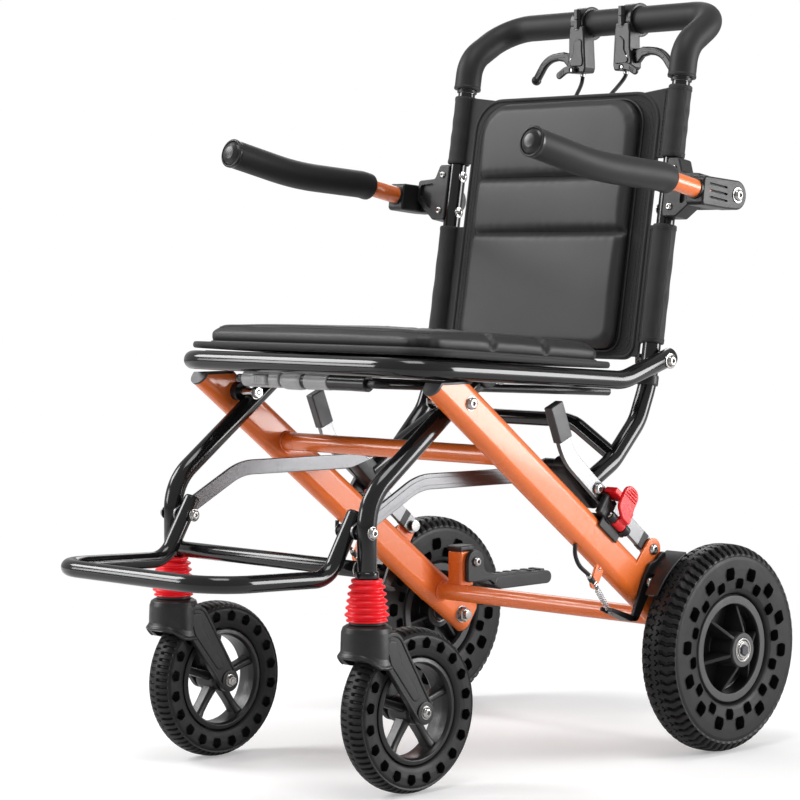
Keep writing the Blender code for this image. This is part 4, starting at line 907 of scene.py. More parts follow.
def makeRearWheels():
    hub = onSide(at(wheelX, rearAxle))
    hexagon = [(-7.7, 0), (-6.2, -6.9), (6.2, -6.9), (7.7, 0), (6.2, 6.9), (-6.2, 6.9)]
    holes = []
    for radius, stagger, size in rearWheel["holeRows"]:
        for i in range(rearWheel["holes"]):
            turn = math.radians(360 / rearWheel["holes"] * (i + stagger + 0.25) - 90)
            holes.append([Matrix.Rotation(turn, 2) @ Vector((x * size, y * size + radius))
                          for x, y in hexagon])
    profile = bothHalves([(112.6, 24.2), (107, 25), (96, 25), (84, 24.6), (73, 23.4), (68, 21.6), (66.2, 17)])
    tyre = holedTyre(profile, hub, holes, 112, 25)
    tread = treadBand(lambda x: 124.85 - 11.4 * (abs(x) / 24.9) ** 3.4, 24.9, 0.8, rearTread,
                      rearWheel["treadRepeats"], rearWheel["treadSteps"], rearWheel["treadDepth"], hub)
    boss = rearWheel["boss"]

    def faceRing(line, radius, steps, side, around):
        # a turned ring on the wheel's outer face, or on its inner one
        return lathe([(p.x, p.y * side) for p in soften(line, radius, steps)], hub, around)

    dish = [(64.9, 19.6), (64.9, -19.6), (55, -19.6), (53, -4), (21.5, -4), (21.2, -21.3), (6.8, -21.3),
            (6.8, boss - 0.4), (20.9, boss - 0.4), (21.8, 3), (52.4, 3), (53.4, 16), (53.8, 19)]
    rim = lathe(soften(dish, 1.6, 3, closed=True), hub, 96, closed=True)
    lip = [(53.4, 15), (54.2, 20.4), (63.6, 20.4), (65.4, 17)]
    rings = [faceRing(lip, 1.0, 3, side, 96) for side in (1, -1)]
    ribs, bearings = [], []
    outlines = ([(19, 2), (54, 2), (54, 15), (50, 18), (26, boss - 5), (21, boss - 2.6), (19, boss - 2.6)],
                [(19, -2), (54, -2), (54, -13), (49, -15), (27, -18.6), (19, -19)])
    for i in range(rearWheel["ribs"]):
        angle = math.radians(360 / rearWheel["ribs"] * i + rearWheel["ribTurn"])
        stand = hub @ Matrix.Rotation(angle, 4, "Z") @ frontView
        for outline in outlines:
            ribs.append(plate(soften(outline, 2, 3, True), 4.2, stand, edge=1.0, edgeSteps=2))
    for side, far in ((1, boss), (-1, 21.4)):
        face = [(14.6, far - 2), (14.6, far + 0.2), (20.2, far + 0.2), (21.1, far - 3)]
        rings.append(faceRing(face, 0.8, 3, side, 64))
        race = [(9.4, far - 2), (9.4, far + 0.4), (10.9, far + 0.4), (11.2, far - 0.4), (12.3, far - 0.4),
                (12.6, far + 0.6), (14.4, far + 0.6), (14.5, far - 2)]
        bearings.append(faceRing(race, 0.25, 2, side, 64))
    addPair("rear_tyre_solid_left", "rear_wheel_left", of(tyreRubber, tread, *tyre), ["rear_tyre_left"],
            "tyre_rubber", sharp=48)
    addPair("rear_rim_ribbed_left", "rear_wheel_left", of(rimPlastic, rim, *ribs)
            + of(rimFace, *rings) + of(boltSteel, *bearings),
            ["rear_rim_left"])


# Casters

def caster():
    # the parts of one left-hand caster wheel
    axle = at(legX, casterAxle)
    hub = onSide(axle)
    pentagon = [(0, 7.6), (-7.1, 2.3), (-5.3, -6.7), (5.3, -6.7), (7.1, 2.3)]
    holes = []
    for i in range(casterWheel["holes"]):
        turn = Matrix.Rotation(math.radians(360 / casterWheel["holes"] * (i + 0.5)), 2)
        holes.append([turn @ Vector((x, y + 76.2)) for x, y in pentagon])
    profile = bothHalves([(85.6, 16.9), (82, 17.8), (74, 17.6), (67, 16.6), (62.4, 15.2), (60.8, 12)])
    tyre = holedTyre(profile, hub, holes, 100, 17.8)
    tread = treadBand(lambda x: 92.4 - 5.6 * (abs(x) / 17.2) ** 3.0, 17.2, 0.8, casterTread,
                      casterWheel["treadRepeats"], casterWheel["treadSteps"], casterWheel["treadDepth"], hub)
    ring = [(59.9, 14.6), (59.9, -14.6), (54.5, -16.2), (52.2, -12), (51.6, -3), (51.6, 3), (52.2, 12), (54.5, 16.2)]
    rim = [lathe(soften(ring, 1.4, 3, closed=True), hub, 80, closed=True)]
    boss = bothHalves([(5, -17.4), (14.6, -17.4), (15.4, -12)])
    rim.append(lathe(soften(boss, 1.2, 3, closed=True), hub, 48, closed=True))
    for i in range(casterWheel["spokes"]):
        angle = math.radians(360 / casterWheel["spokes"] * i + casterWheel["spokeTurn"])
        turn = hub @ Matrix.Rotation(angle, 4, "Z")
        path = [turn @ Vector((x, 0, 0)) for x in (10, 20, 32, 44, 53.4)]
        section = soften([(-8.6, -4.9), (8.6, -4.9), (8.6, 4.9), (-8.6, 4.9)], 3.4, 4, True)
        rim.append(sweep(path, section, sizes=[1.12, 1.0, 0.92, 0.94, 1.12], up=turn.to_3x3() @ Vector((0, 1, 0))))
    bearing = lathe(soften([(5.2, 16), (5.2, 17.9), (9.6, 17.9), (9.6, 16)], 0.4, 2), hub, 40)
    return tyre, tread, rim, bearing


def forkBlade(side):
    # one blade of the fork: a plate with a raised border and a long raised panel
    x = legX + side * 24
    face = legX + side * 27
    outer = strap((-500, 168), casterAxle, 18.6, 13.6)
    inner = strap((-499, 166), casterAxle, 15.4, 10.6)
    base = sidePlate(outer, legX + side * 20.6, face, edge=1.4)
    border = sidePlate(outer, face - side * 2, face + side * 1.3, holes=[inner], edge=1.1)
    panel = [(-508, 171), (-505, 178), (-492, 176), (-486, 152), (-457, 112), (-462, 106), (-468, 108), (-503, 152)]
    panel = sidePlate(soften(panel, 5, 5, True), face - side * 2, face + side * 1.2, edge=1.2)
    boss = crossRod(casterAxle, x, face + side * 1.9, 12.2, 1.2)
    return [base, border, panel, boss]


def makeCasters():
    tyre, tread, rim, bearing = caster()
    addPair("caster_tyre_solid_left", "caster_left", of(tyreRubber, tread, *tyre), ["caster_tyre_left"],
            "tyre_rubber", sharp=48)
    addPair("caster_rim_spoked_left", "caster_left", of(rimPlastic, *rim)
            + of(boltSteel, bearing, mirrorMesh(bearing, legX)), ["caster_rim_left"])

    stand = at(legX, (legY, 0))
    crownLine = [(0, 193.8), (22.4, 193.8), (26.6, 191.2), (28.4, 186), (29, 172), (29.2, 158), (30.4, 151.5),
                 (32.2, 148.6), (31.4, 146.6), (0, 146.6)]
    crown = lathe(soften(crownLine, 2.2, 4), stand, 72)
    room = sidePlate(arc(casterAxle, 97, 0, 357.5, 143), legX - 20.4, legX + 20.4, edge=0.01, edgeSteps=0)
    slope = Matrix.Rotation(math.radians(38), 4, "X")
    behind = block((90, 60, 70), Matrix.Translation((legX, legY + 47, 150)) @ slope, 0.01, 1)
    crown = carve(carve(crown, [room]), [behind])
    lip = [Vector((legX + 31.2 * math.sin(a), legY - 31.2 * math.cos(a), 147.4))
           for a in [math.radians(-78 + 156 * k / 40) for k in range(41)]]
    # the hood opens upwards towards the front
    for p in [v.co for v in crown.vertices] + lip:
        p.z += 13 * smoothStep(2, 28, legY - p.y) * smoothStep(172, 149, p.z)
    parts = [crown, roundTube(lip, 1.6, 10, roundEnds=1.2)]
    for side in (1, -1):
        parts += forkBlade(side)
    parts.append(crossRod(casterAxle, legX - 21, legX + 21, 4))
    bearing = [(7.4, 193), (16.8, 193), (17.6, 196.4), (7.4, 196.4)]
    parts.append(lathe(soften(bearing, 0.8, 3), stand, 48))
    steel = [crossRod(casterAxle, legX + side * 28.5, legX + side * 29.4, 7.6, 0.3) for side in (1, -1)]
    steel.append(sideHead(casterAxle, legX + 29.3, 1, 6.2, 3.4))
    steel += sideNut(casterAxle, legX - 29.0, -1, 11, 3.8, 0.8)
    addPair("caster_fork_left", "fork_left", of(blackPlastic, *parts) + of(boltSteel, *steel), ["fork_left"])

    # the bellows, five ribs that widen downwards, on a stem with its spring inside
    line = [(17.6, 243.6), (17.4, 239.5)]
    for i in range(5):
        share = (i + 0.5) / 5
        z = 238.9 + (200.9 - 238.9) * share
        r = 18.4 + 5.3 * share
        line += [(r - 4.4 + share, z + 3.9), (r + 1.5, z + 0.6), (r + 1.6, z - 0.9)]
    line += [(19.6, 200.4), (22.8, 199.2), (23.2, 197.4), (13, 197.4), (12, 243.6)]
    bellows = lathe(soften(line, 1.5, 4, closed=True), stand, 72, closed=True)
    for side, sign, mesh in (("left", 1, bellows), ("right", -1, mirrorMesh(bellows))):
        piece = addPiece("rubber_bellows_" + side, "front_legs", of(redRubber, mesh), ["bellows_" + side],
                         "red_rubber", sharp=60)
        "suspension_" + side
        sign * legX * 0.001
        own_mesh(piece)
    stem = [(0, 285.6), (6.4, 285.6), (7, 284.8), (7, 177), (6.2, 176.2), (0, 176.2)]
    flange = [(6.8, 197.3), (19.6, 197.3), (19.9, 196.9), (19.9, 194.6), (6.8, 194.4)]
    addPair("suspension_stem_left", "stem_left", of(boltSteel, lathe(stem, stand, 40))
            + of(blackPlastic, lathe(flange, stand, 40)), ["stem_left"], "silver")


# Front legs, footrest and links

frontLegs = {"radius": 11, "bend": 60, "foot": 244.6, "clampWidth": 26}


def makeFrontLegs():
    edge = Vector(seatPivot).lerp(Vector(legPivot), 0.16)
    path = soften([at(legX, p) for p in (edge, (legY, 329), (legY, frontLegs["foot"]))], frontLegs["bend"], 18)
    leg = roundTube(path, frontLegs["radius"], 32, roundEnds=0.5)
    collar = [(0, 244.2), (12.8, 244.2), (13.2, 245), (13.2, 250.5), (12.4, 251.4), (0, 251.4)]
    collar = lathe(soften(collar, 0.4, 2), at(legX, (legY, 0)), 40)
    halfX = frontLegs["clampWidth"] / 2
    clamp = crossRod(seatPivot, legX - halfX, legX + halfX, 14.6, 1.4, 48, 8.6)
    earEnd = Vector(seatPivot).lerp(Vector(legPivot), 0.42)
    ear = sidePlate(strap(seatPivot, earEnd, 13.8, 11.4), legX - 9, legX + 9, edge=1.6)
    ear = carve(ear, [crossRod(seatPivot, legX - 20, legX + 20, 9.2, 0.01)])
    parts = of(blackEnamel, leg, collar) + of(blackPlastic, clamp, ear)
    parts += of(boltSteel, crossRod(footPivot, 122, legX, 4),
                crossRod(footPivot, 121.6, 122.4, 7.4, 0.3),
                crossRod(footPivot, legX + 10.6, legX + 11.6, 7.4, 0.3),
                sideHead(footPivot, legX + 11.4, 1, 6.6, 3.8),
                sideHead(footPivot, 122.2, -1, 6.4, 3.4),
                weldBead(at(legX - 11.2, (legY, 253)), (1, 0, 0), 9.2, 1.3))
    cross = crossRod((legY, 253), -legX, legX, 9, 0.1, 32)
    addPiece("front_leg_frame", "front_legs", bothSides(parts) + of(blackEnamel, cross), ["leg_frame"], **bentTube)


footrest = {"radius": 9.5, "x": 136.5, "corners": ((-505, 312), (-546, 244), (-712, 250)), "bends": [0, 34, 50]}


def makeFootrest():
    x, bends = footrest["x"], footrest["bends"]
    path = soften([at(x, p) for p in footrest["corners"]] + [at(-x, p) for p in footrest["corners"][::-1]],
                  bends + bends[::-1], 16)
    tube = roundTube(path, footrest["radius"], 32, roundEnds=0.8)
    plugs, sleeves = [], []
    for s in (1, -1):
        top, bend = [at(s * x, p) for p in footrest["corners"][:2]]
        plugs.append(lathe([(0, -2), (8.9, -2), (9.3, 0.4), (8.2, 2.0), (0, 2.5)],
                           pointing(top, top + (top - bend).normalized()), 32))
        sleeves.append(crossRod(footPivot, s * 126.6, s * 146.2, 6.6, 0.6))
    addPiece("footrest_loop", "footrest", of(blackEnamel, tube) + of(blackPlastic, *plugs, *sleeves), ["footrest"],
             **bentTube)


def makeLinks():
    route = soften([footPivot, (-418, 343), (-240, 341), linkRear], [0, 80, 60, 0], 14)
    bar = sidePlate(ribbon(route, 18, 14), 146.7, 150.5, edge=0.9)
    crease = sidePlate(ribbon(route, 8.5, 8), 150.3, 151.2, edge=0.4)
    steel = [sideHead(linkRear, 146.4, -1, 6.4, 3.6), crossRod(linkRear, 145.9, 146.8, 7.4, 0.3),
             crossRod(linkRear, 144, 170, 4)]
    addPair("link_bar_left", "links", of(satinGrey, bar, crease) + of(boltSteel, *steel), ["link_left"], "grey_bar")


# Saddles, latches, levers and brakes

saddle = {"y": -172.4, "hinge": 6.6, "x": 212, "skirt": (39, 15, 3.2), "housing": (22, 26, 8.0),
          "barrels": (-9.4, 19.4), "ribs": 4}


def makeSaddles():
    root, down, up = armFrame(saddle["y"])
    turn = Matrix(((0, 0, 1), (down.x, up.x, 0), (down.y, up.y, 0))).to_4x4()
    top = sideArm["height"] / 2 + 0.3
    hinge = top + saddle["hinge"]
    x = saddle["x"]

    def spot(s, n, across):
        # s down the arm from the saddle's middle, n above the arm's axis
        return Vector((across, root.x + down.x * s + up.x * n, root.y + down.y * s + up.y * n))

    def box(size, s, n, across, edge=1.0):
        return block(size, Matrix.Translation(spot(s, n, across)) @ turn, edge)

    black = [box((41, 5, 27.8), 1, top + 2.5, armX + 0.6, 1.8), box(saddle["skirt"], 0, top - 4.5, 208.4, 1.3),
             box((39, 15, 1.4), 0, top - 4.5, 181.8, 0.5),
             carve(box(saddle["housing"], -19.5, top + 13, 207.5, 2.0),
                   [box((13, 9, 5.4), -19.5, top + 24.4, 209, 0.5)])]
    for k in range(3):
        black.append(box((1.6, 16, 0.9), -25.5 + 6 * k, top + 9, 211.4, 0.35))
    for s in saddle["barrels"]:
        black.append(rod(spot(s - 5, hinge, x), spot(s + 5, hinge, x), 6.4, 1.1, 44))
        black.append(box((9.4, 8, 6.4), s, top + 2.4, 208.8, 1.4))
    steel = [rod(spot(-14, hinge, x), spot(24, hinge, x), 2.4, 0.3),
             socketHead(spot(-14.2, hinge, x), (0, -down.x, -down.y), 4.3, 1.8),
             lathe([(0, 0), (3.9, 0), (3.9, 2.0), (3.2, 2.6), (0, 2.6)],
                   pointing(spot(24.2, hinge, x), spot(90, hinge, x)), 6)]
    addPair("arm_saddle_left", "frame", of(blackPlastic, *black) + of(boltSteel, *steel), ["saddle_left"])

    # the latch: a barrel on the pin, a thumb pad above it and a hook at the lever's outer face
    across = Matrix(((1, 0, 0), (0, up.x, -down.x), (0, up.y, -down.y))).to_4x4()
    center = Matrix.Translation(spot(5, hinge, x)) @ across
    barrel = rod(spot(-3.6, hinge, x), spot(13.6, hinge, x), 6.2, 0.9, 44)
    neck = [(1, 5.6), (6.6, 8.2), (7.4, 18), (10.8, 18), (10.8, 9.5), (9.4, 3.6), (6.1, -0.4)]
    neck = plate(soften(neck, 1.2, 3, True), 14.6, center, edge=1.4)
    padLine = [(-12.6, 14), (-9, 9.4), (0.5, 3.4), (4, 2.4), (15.6, 2.4), (17.4, 5), (13.8, 24)]
    padLine += arc((2.2, 31.6), 11.4, 0, 90, 12) + arc((-2.2, 31.6), 11.4, 90, 180, 12)
    pad = plate(padLine, 4.4, Matrix.Translation(spot(-5, hinge, x + 9.4)) @ turn, edge=1.5, edgeSteps=4)
    hookX = leverX + 3.7 - x
    hook = plate(soften([(hookX, 21.4), (9, 21.4), (9, 28.4), (hookX + 1.5, 28.4)], 1.2, 3, True),
                 22, Matrix.Translation(spot(-19.4, hinge, x)) @ across, edge=1.2)
    gusset = box((15, 9, 6), -12, hinge + 25, x + 5.5, 1.4)
    ribs = []
    for k in range(saddle["ribs"]):
        reach = 22.4 if k < 2 else 22.4 - 5 * (k - 1)
        ribs.append(box((reach, 1.3, 1.5), -5, hinge + 28.6 + 3.5 * k, x + 11.9, 0.6))
    addPair("fold_latch_left", "latch_left", of(redPlastic, barrel, neck, pad, hook, gusset, *ribs), ["latch_left"],
            "red_plastic")


lever = {"route": ((-224.4, 364), (-245.2, 414.6)), "pad": (-241, 404.5), "padTurn": (41.5, -17), "width": 20}


def makeLevers():
    route = soften([leverPivot, leverTip, *lever["route"]], [0, 300, 60, 0], 12)
    bar = sidePlate(ribbon(route, lever["width"], 12), leverX - 3, leverX + 3, edge=0.8,
                    holes=[arc(leverPivot, 4.5, 0, 350, 28)])
    pad = block((45, 22, 12), onSide(at(leverX, lever["pad"]), math.atan2(*lever["padTurn"])), 1.7, 4)
    low = Vector(leverPivot).lerp(Vector(leverTip), 0.145)
    sleeve = block((11, 21, 7.0), onSide(at(leverX, low), math.atan2(78, -97)), 1.2, 3)
    steel = [crossRod(leverTip, 195.4, 202.6, 8.6, 0.3), sideHead(leverTip, 202.4, 1, 7.2, 4.2)]
    addPair("fold_lever_left", "levers", of(leverSteel, bar) + of(darkGreyPlastic, pad) + of(blackPlastic, sleeve)
            + of(darkSteel, steel[0]) + of(boltSteel, steel[1]), ["lever_left"], "silver")


brake = {"cheek": (206.8, 211.6), "shoeOut": 238, "shoeGap": 2.6, "shoeThick": 3.2, "turns": 11, "wire": 1.1}


def makeBrakes():
    cheek = [(-124, 164), (-112, 164), (-84, 204), (-72, 224), (-60, 240), (-66, 244), (-78, 234), (-90, 230),
             (-101, 214)]
    inner, outer = brake["cheek"]
    loop = soften(cheek, 5, 4, True)
    parts = [sidePlate(loop, inner, outer, holes=[arc(brakePivot, 4.6, 0, 345, 24)], edge=0.9)]
    low, high = 125 + brake["shoeGap"], 125 + brake["shoeGap"] + brake["shoeThick"]
    shoe = arc(rearAxle, high, 115, 134, 12) + arc(rearAxle, low, 134, 115, 12)
    tail = arc(rearAxle, high, 132, 147, 10) + arc(rearAxle, low, 147, 132, 10)
    parts.append(sidePlate(shoe, inner + 0.4, brake["shoeOut"], edge=0.9))
    parts.append(sidePlate(tail, 219.4, brake["shoeOut"], edge=0.9))
    foot = [(-124, 164.4), (-113, 164.4), (-116, 169.6), (-157.6, 183.6), (-159.4, 179.4)]
    foot = sidePlate(soften(foot, 1.2, 3, True), 192.2, outer, edge=0.8)
    slot = onSide(at(leverX, Vector(springFoot) + Vector((-6, 0))), math.radians(-18.4))
    parts.append(carve(foot, [block((20, 40, 9.2), slot, 0.01, 1)]))
    addPair("brake_shoe_arm_left", "brake_left", of(satinBlack, *parts), ["brake_arm_left"], "black_metal")

    # return spring between the cable stop and the brake arm's foot, with the inner cable through it
    stop = Vector(cableStop)
    top, bottom = stop + 8.6 * cablePull, Vector(springFoot)
    axis = bottom - top
    turn = onSide(at(leverX, top), math.atan2(axis.y, axis.x) - math.pi / 2)
    r = 3.5 - brake["wire"] / 2
    rise = (axis.length - 2.2) / brake["turns"]
    coil = [turn @ Vector((r * math.cos(a), 1.1 + rise * a / (2 * math.pi), r * math.sin(a)))
            for a in [2 * math.pi * k / 20 for k in range(brake["turns"] * 20 + 1)]]
    spring = roundTube(coil, brake["wire"] / 2, 8)
    wireLine = rod(at(leverX, top - 2 * cablePull), at(leverX, bottom + 9 * cablePull), 0.75, 0.2, 10)
    ferrule = rod(at(leverX, bottom + 1.2 * cablePull), at(leverX, bottom + 5 * cablePull), 2.2, 0.4, 20)
    addPair("brake_return_spring_left", "frame", of(springWire, spring, wireLine) + of(boltSteel, ferrule),
            ["brake_spring_left"], "spring_steel", sharp=60)
    line = (stop - 10.2 * cablePull, stop - 15 * cablePull, (-203, 236), (-210.5, 249), (-211, 262))
    cable = roundTube(curveThrough([at(leverX, p) for p in line], 8), 2.5, 20)
    cover = rod(at(leverX, stop - 14.5 * cablePull), at(leverX, stop - 9.6 * cablePull), 3.1, 0.4, 24)
    addPair("brake_cable_end_left", "frame", of(cableCover, cable) + of(boltSteel, cover), ["cable_lower_left"],
            "cable_housing", sharp=60)


# Seat

def seatLine(y):
    # the height of the side rails' straight part
    return 449 - (y + 130) * 25 / 340


seat = {"radius": 11, "half": ((seatX, -42, 475), (seatX, -130, 449), (seatX, -478, 473)), "bends": [0, 70, 58],
        "slope": math.atan2(-25, 340), "cushion": (-299, 11.3), "board": (-298, 9)}


def onSeat(y, lift):
    # the seat's sloping plane, lifted above the side rails' line
    return Matrix.Translation((0, y, seatLine(y) + lift)) @ Matrix.Rotation(seat["slope"], 4, "X")


pullHandle = {"x": 121, "grip": (-449, 451.9), "radius": 5, "buttonX": -70}


def makeSeatFrame():
    path = soften(acrossMiddle(seat["half"]), seat["bends"] + seat["bends"][::-1], 16)
    parts = of(blackEnamel, roundTube(path, seat["radius"], 32, roundEnds=0.8),
               crossRod(seatPivot, -seatX, seatX, 8, 0.2))
    side = of(blackPlastic, rod((seatX, -43, 474.7), (seatX, -40.6, 475.4), 9.4, 0.8),
              crossRod(seatPivot, 149.6, 155, 9.4, 0.8), crossRod(backPivot, 190, 192.4, 8.8, 0.6))
    side += of(boltSteel, crossRod(backPivot, 164, seatX, 4), crossRod(backPivot, 162.6, 166.6, 7.6, 0.3, 6),
               crossRod(backPivot, seatX + 9.4, seatX + 11.6, 9.4, 0.4),
               sideHead(backPivot, seatX + 11.4, 1, 7.2, 4.4),
               weldBead(at(seatX - 9.6, seatPivot), (1, 0, 0), 8.6, 1.4))
    slope = Matrix.Rotation(math.atan2(-10.8, 200), 4, "X")
    x = pullHandle["x"]
    front, back = block((32, 37, 30), (x, -459.3, 452.8), 2.2), block((20, 14.6, 24), (x, -330.2, 451.3), 1.6)
    bores = [rod((x, -500, 454.6), (x, -300, 443.8), 5.8, 0.01, 24) for k in range(2)]
    gap = block((24, 76, 11.6), Matrix.Translation((x - 12, -474.6, 453.2)) @ slope, 0.01, 1)
    side += of(darkGreyPlastic, carve(front, [bores[0], gap])) + of(blackPlastic, carve(back, [bores[1]]))
    addPiece("seat_frame_tube", "seat", parts + bothSides(side), ["seat_frame"], **bentTube)
    board = onSeat(*seat["board"])
    tray = [block((366, 294, 3.4), board, 1.4)]
    for k in range(5):
        tray.append(block((4, 270, 1.6), board @ Matrix.Translation((-140 + 70 * k, 0, -1.9)), 0.6, 2))
    addPiece("seat_board_panel", "seat", of(blackPlastic, *tray), ["seat_board"])


def makePullHandle():
    x, (y, z), buttonX = pullHandle["x"], pullHandle["grip"], pullHandle["buttonX"]
    path = soften(acrossMiddle([(x, -62, 430.6), (x, y, z)]), [0, 9, 9, 0], 8)
    rods = roundTube(path, pullHandle["radius"], 20, roundEnds=0.8)

    def turned(line, fromX, toX):
        return lathe(soften(line, 0.9, 3), pointing((fromX, y, z), (toX, y, z)), 40)

    # a grip in segments from one side to the other; the button sits in the far one
    room = block((26.6, 14, 12.6), (buttonX, -455, z), 0.01, 1)
    grey = [carve(turned([(0, 0), (9.4, 0), (9.6, 24), (9.2, 63), (0, 63)], -103, 0), [room]),
            turned([(0, 0), (9.6, 0), (10.6, 6), (10.7, 27), (9.9, 33), (0, 33)], -36, 0),
            turned([(0, 0), (9.6, 0), (9.4, 20), (9.4, 38), (0, 38)], 2.6, 60)]
    black = [turned([(0, 0), (9.0, 0), (8.7, 30), (9.1, 60), (0, 60)], 41, 120),
             turned([(0, 0), (8.4, 0), (8.4, 6), (0, 6)], -3.2, 60)]
    addPiece("pull_handle_bar", "pull_handle", of(satinBlack, rods, *black) + of(greyPlastic, *grey), ["pull_handle"],
             "grey_grip")
    cap = [block((25.4, 10.2, 11.6), (buttonX, -456.7, z), 2.6, 4)]
    for k in range(4):
        cap.append(block((1.5, 1.2, 7.6), (buttonX + 3.6 * (k - 1.5), -461.7, z), 0.5, 2))
    addPiece("pull_release_button", "pull_button", of(greyPlastic, *cap), ["pull_button"], "grey_grip")


def puffed(mesh, voxel, cap, weigh, pressure=4.0):
    # blows a closed form up as cloth; weigh says how much of the swelling each point keeps
    mesh.transform(Matrix.Scale(0.001, 4))
    piece = addObject("puff", mesh)

    def settle():
        made = bpy.data.meshes.new_from_object(piece.evaluated_get(bpy.context.evaluated_depsgraph_get()))
        piece.modifiers.clear()
        old, piece.data = piece.data, made
        bpy.data.meshes.remove(old)

    remesh = piece.modifiers.new("even", "REMESH")
    remesh.mode, remesh.voxel_size = "VOXEL", voxel * 0.001
    settle()
    rest = [v.co.copy() for v in piece.data.vertices]
    outward = [v.normal.copy() for v in piece.data.vertices]
    cloth = piece.modifiers.new("swell", "CLOTH")
    cloth.settings.use_pressure = True
    cloth.settings.uniform_pressure_force = pressure
    cloth.settings.effector_weights.gravity = 0
    for number in range(1, 21):
        bpy.context.scene.frame_set(number)
    settle()
    bpy.context.scene.frame_set(1)
    # only what swells outwards counts, up to the cap
    for vertex, old, way in zip(piece.data.vertices, rest, outward):
        step = min(max((vertex.co - old).dot(way), 0), cap * 0.001)
        vertex.co = old + way * step * weigh(old * 1000)
    piece.modifiers.new("finer", "SUBSURF").levels = 1
    settle()
    made = piece.data
    bpy.data.objects.remove(piece)
    made.transform(Matrix.Scale(1000, 4))
    return made


def stitches(line, surface, way, length=3.4, gap=1.9, radius=0.45):
    # a row of thread stitches lying on a surface along a line
    made = []
    path = [Vector(p) for p in line]
    total = sum((b - a).length for a, b in zip(path, path[1:]))
    count = int(total / (length + gap))

    def along(distance):
        for a, b in zip(path, path[1:]):
            if distance <= (b - a).length:
                return a.lerp(b, distance / (b - a).length)
            distance -= (b - a).length
        return path[-1]

    for k in range(count):
        start = along(k * (length + gap))
        ends = []
        for share in (0, 0.5, 1):
            p = start.lerp(along(k * (length + gap) + length), share)
            hit = surface.ray_cast(p - Vector(way) * 60, Vector(way))[0] if surface else p
            if hit is None:
                break
            ends.append(hit - Vector(way) * (0.35 if share == 0.5 else -0.1))
        if len(ends) == 3:
            made.append(roundTube(ends, radius, 6))
    return made


def surfaceOf(mesh):
    form = bmesh.new()
    form.from_mesh(mesh)
    tree = BVHTree.FromBMesh(form)
    form.free()
    return tree


straightDown = (0, 0, -1)


def oval(width, height):
    # a binding's section
    return [(a * width, b * height) for a, b in arc((0, 0), 1, 0, 330, 11)]


def roundedSheet(width, length, radius, thickness, matrix, radiusFar=None):
    far = radius if radiusFar is None else radiusFar
    x, y = width / 2, length / 2
    line = []
    for start, a, b, r in ((0, 1, 1, far), (90, -1, 1, far), (180, -1, -1, radius), (270, 1, -1, radius)):
        line += arc((a * (x - r), b * (y - r)), r, start, start + 90, 10)
    return line, plate(line, thickness, matrix, edge=thickness * 0.46, edgeSteps=3)


cushion = {"width": 380, "length": 315, "shift": 4, "rise": 17, "base": 8, "crown": 8, "corner": 34,
           "creases": (-43, 46), "creaseWidth": 4.6, "creaseDepth": 5.2, "flange": (408, 334), "flangeZ": 5.6,
           "edgeSeam": 11, "weltZ": 9.4}


def makeSeatCushion():
    # a woven flange bound round its edge, and a leather pad sewn on it
    z, shift, rise = cushion["flangeZ"], cushion["shift"], cushion["rise"]
    x, y = cushion["width"] / 2, cushion["length"] / 2
    line, flange = roundedSheet(*cushion["flange"], 44, 6, (0, 0, z))
    binding = sweep([(a, b, z) for a, b in line], oval(2.6, 3.8), True)
    pad = roundedSheet(2 * x - 5, 2 * y - 5, cushion["corner"], rise, (0, shift, cushion["base"] + rise / 2))[1]
    pad = puffed(pad, 5, 4, lambda p: smoothStep(9.5, 14, p.z))
    for vertex in pad.vertices:
        p = vertex.co
        share = smoothStep(10, 19, p.z)
        middle = max(0, 1 - (p.x / x) ** 2) * max(0, 1 - ((p.y - shift) / y) ** 2)
        p.z += cushion["crown"] * middle ** 0.5 * share
        for crease in cushion["creases"]:
            away = (p.y - shift - crease) / cushion["creaseWidth"]
            dent = math.exp(-away * away) * share
            p.z -= cushion["creaseDepth"] * dent
            p.x -= math.copysign(3.4 * dent * smoothStep(x - 26, x - 2, abs(p.x)), p.x)
        # small puckers that fade away from the seams
        near = min(abs(p.y - shift - crease) for crease in cushion["creases"])
        pucker = math.sin(p.x * 0.23 + 1.7 * math.sin(p.x * 0.061)) * math.exp(-((near - 8) / 7) ** 2)
        p.z += 0.7 * pucker * share
        p.z += 0.9 * noise.noise(Vector((p.x * 0.018, p.y * 0.022, 3.1))) * share
    surface = surfaceOf(pad)
    threads = []
    for crease in cushion["creases"]:
        for side in (-1, 1):
            row = shift + crease + side * cushion["creaseWidth"]
            threads += stitches([(-x + 16, row, 0), (x - 16, row, 0)], surface, straightDown)

    def corners(inset, height):
        return [(s * (x - inset), t * (y - inset) + shift, height) for s, t in ((1, 1), (-1, 1), (-1, -1), (1, -1))]

    loop = soften(corners(cushion["edgeSeam"], 0), 28, 6, closed=True)
    threads += stitches(loop + loop[:1], surface, straightDown)
    welt = soften(corners(3.5, cushion["weltZ"]), cushion["corner"], 8, closed=True)
    piping = roundTube(welt, 2.0, 12, closed=True)
    flangeLine = [Vector((a * 0.965, b * 0.96, 0)) for a, b in line]
    threads += stitches(flangeLine + flangeLine[:1], surfaceOf(flange), straightDown, 3.0, 1.8, 0.4)
    parts = of(meshCloth, flange) + of(panelCloth, binding) + of(leather, pad, piping) + of(thread, *threads)
    for mesh, material in parts:
        mesh.transform(onSeat(*seat["cushion"]))
    piece = addPiece("seat_cushion_sewn", "seat", parts, ["seat_cushion"], "black_leather", sharp=70)


# Back

backRise = (Vector(backTop) - Vector(backFoot)).normalized()
backPlane = (Matrix.Translation(at(0, backFoot))
             @ Matrix(((1, 0, 0), (0, backRise.x, -backRise.y), (0, backRise.y, backRise.x))).to_4x4())


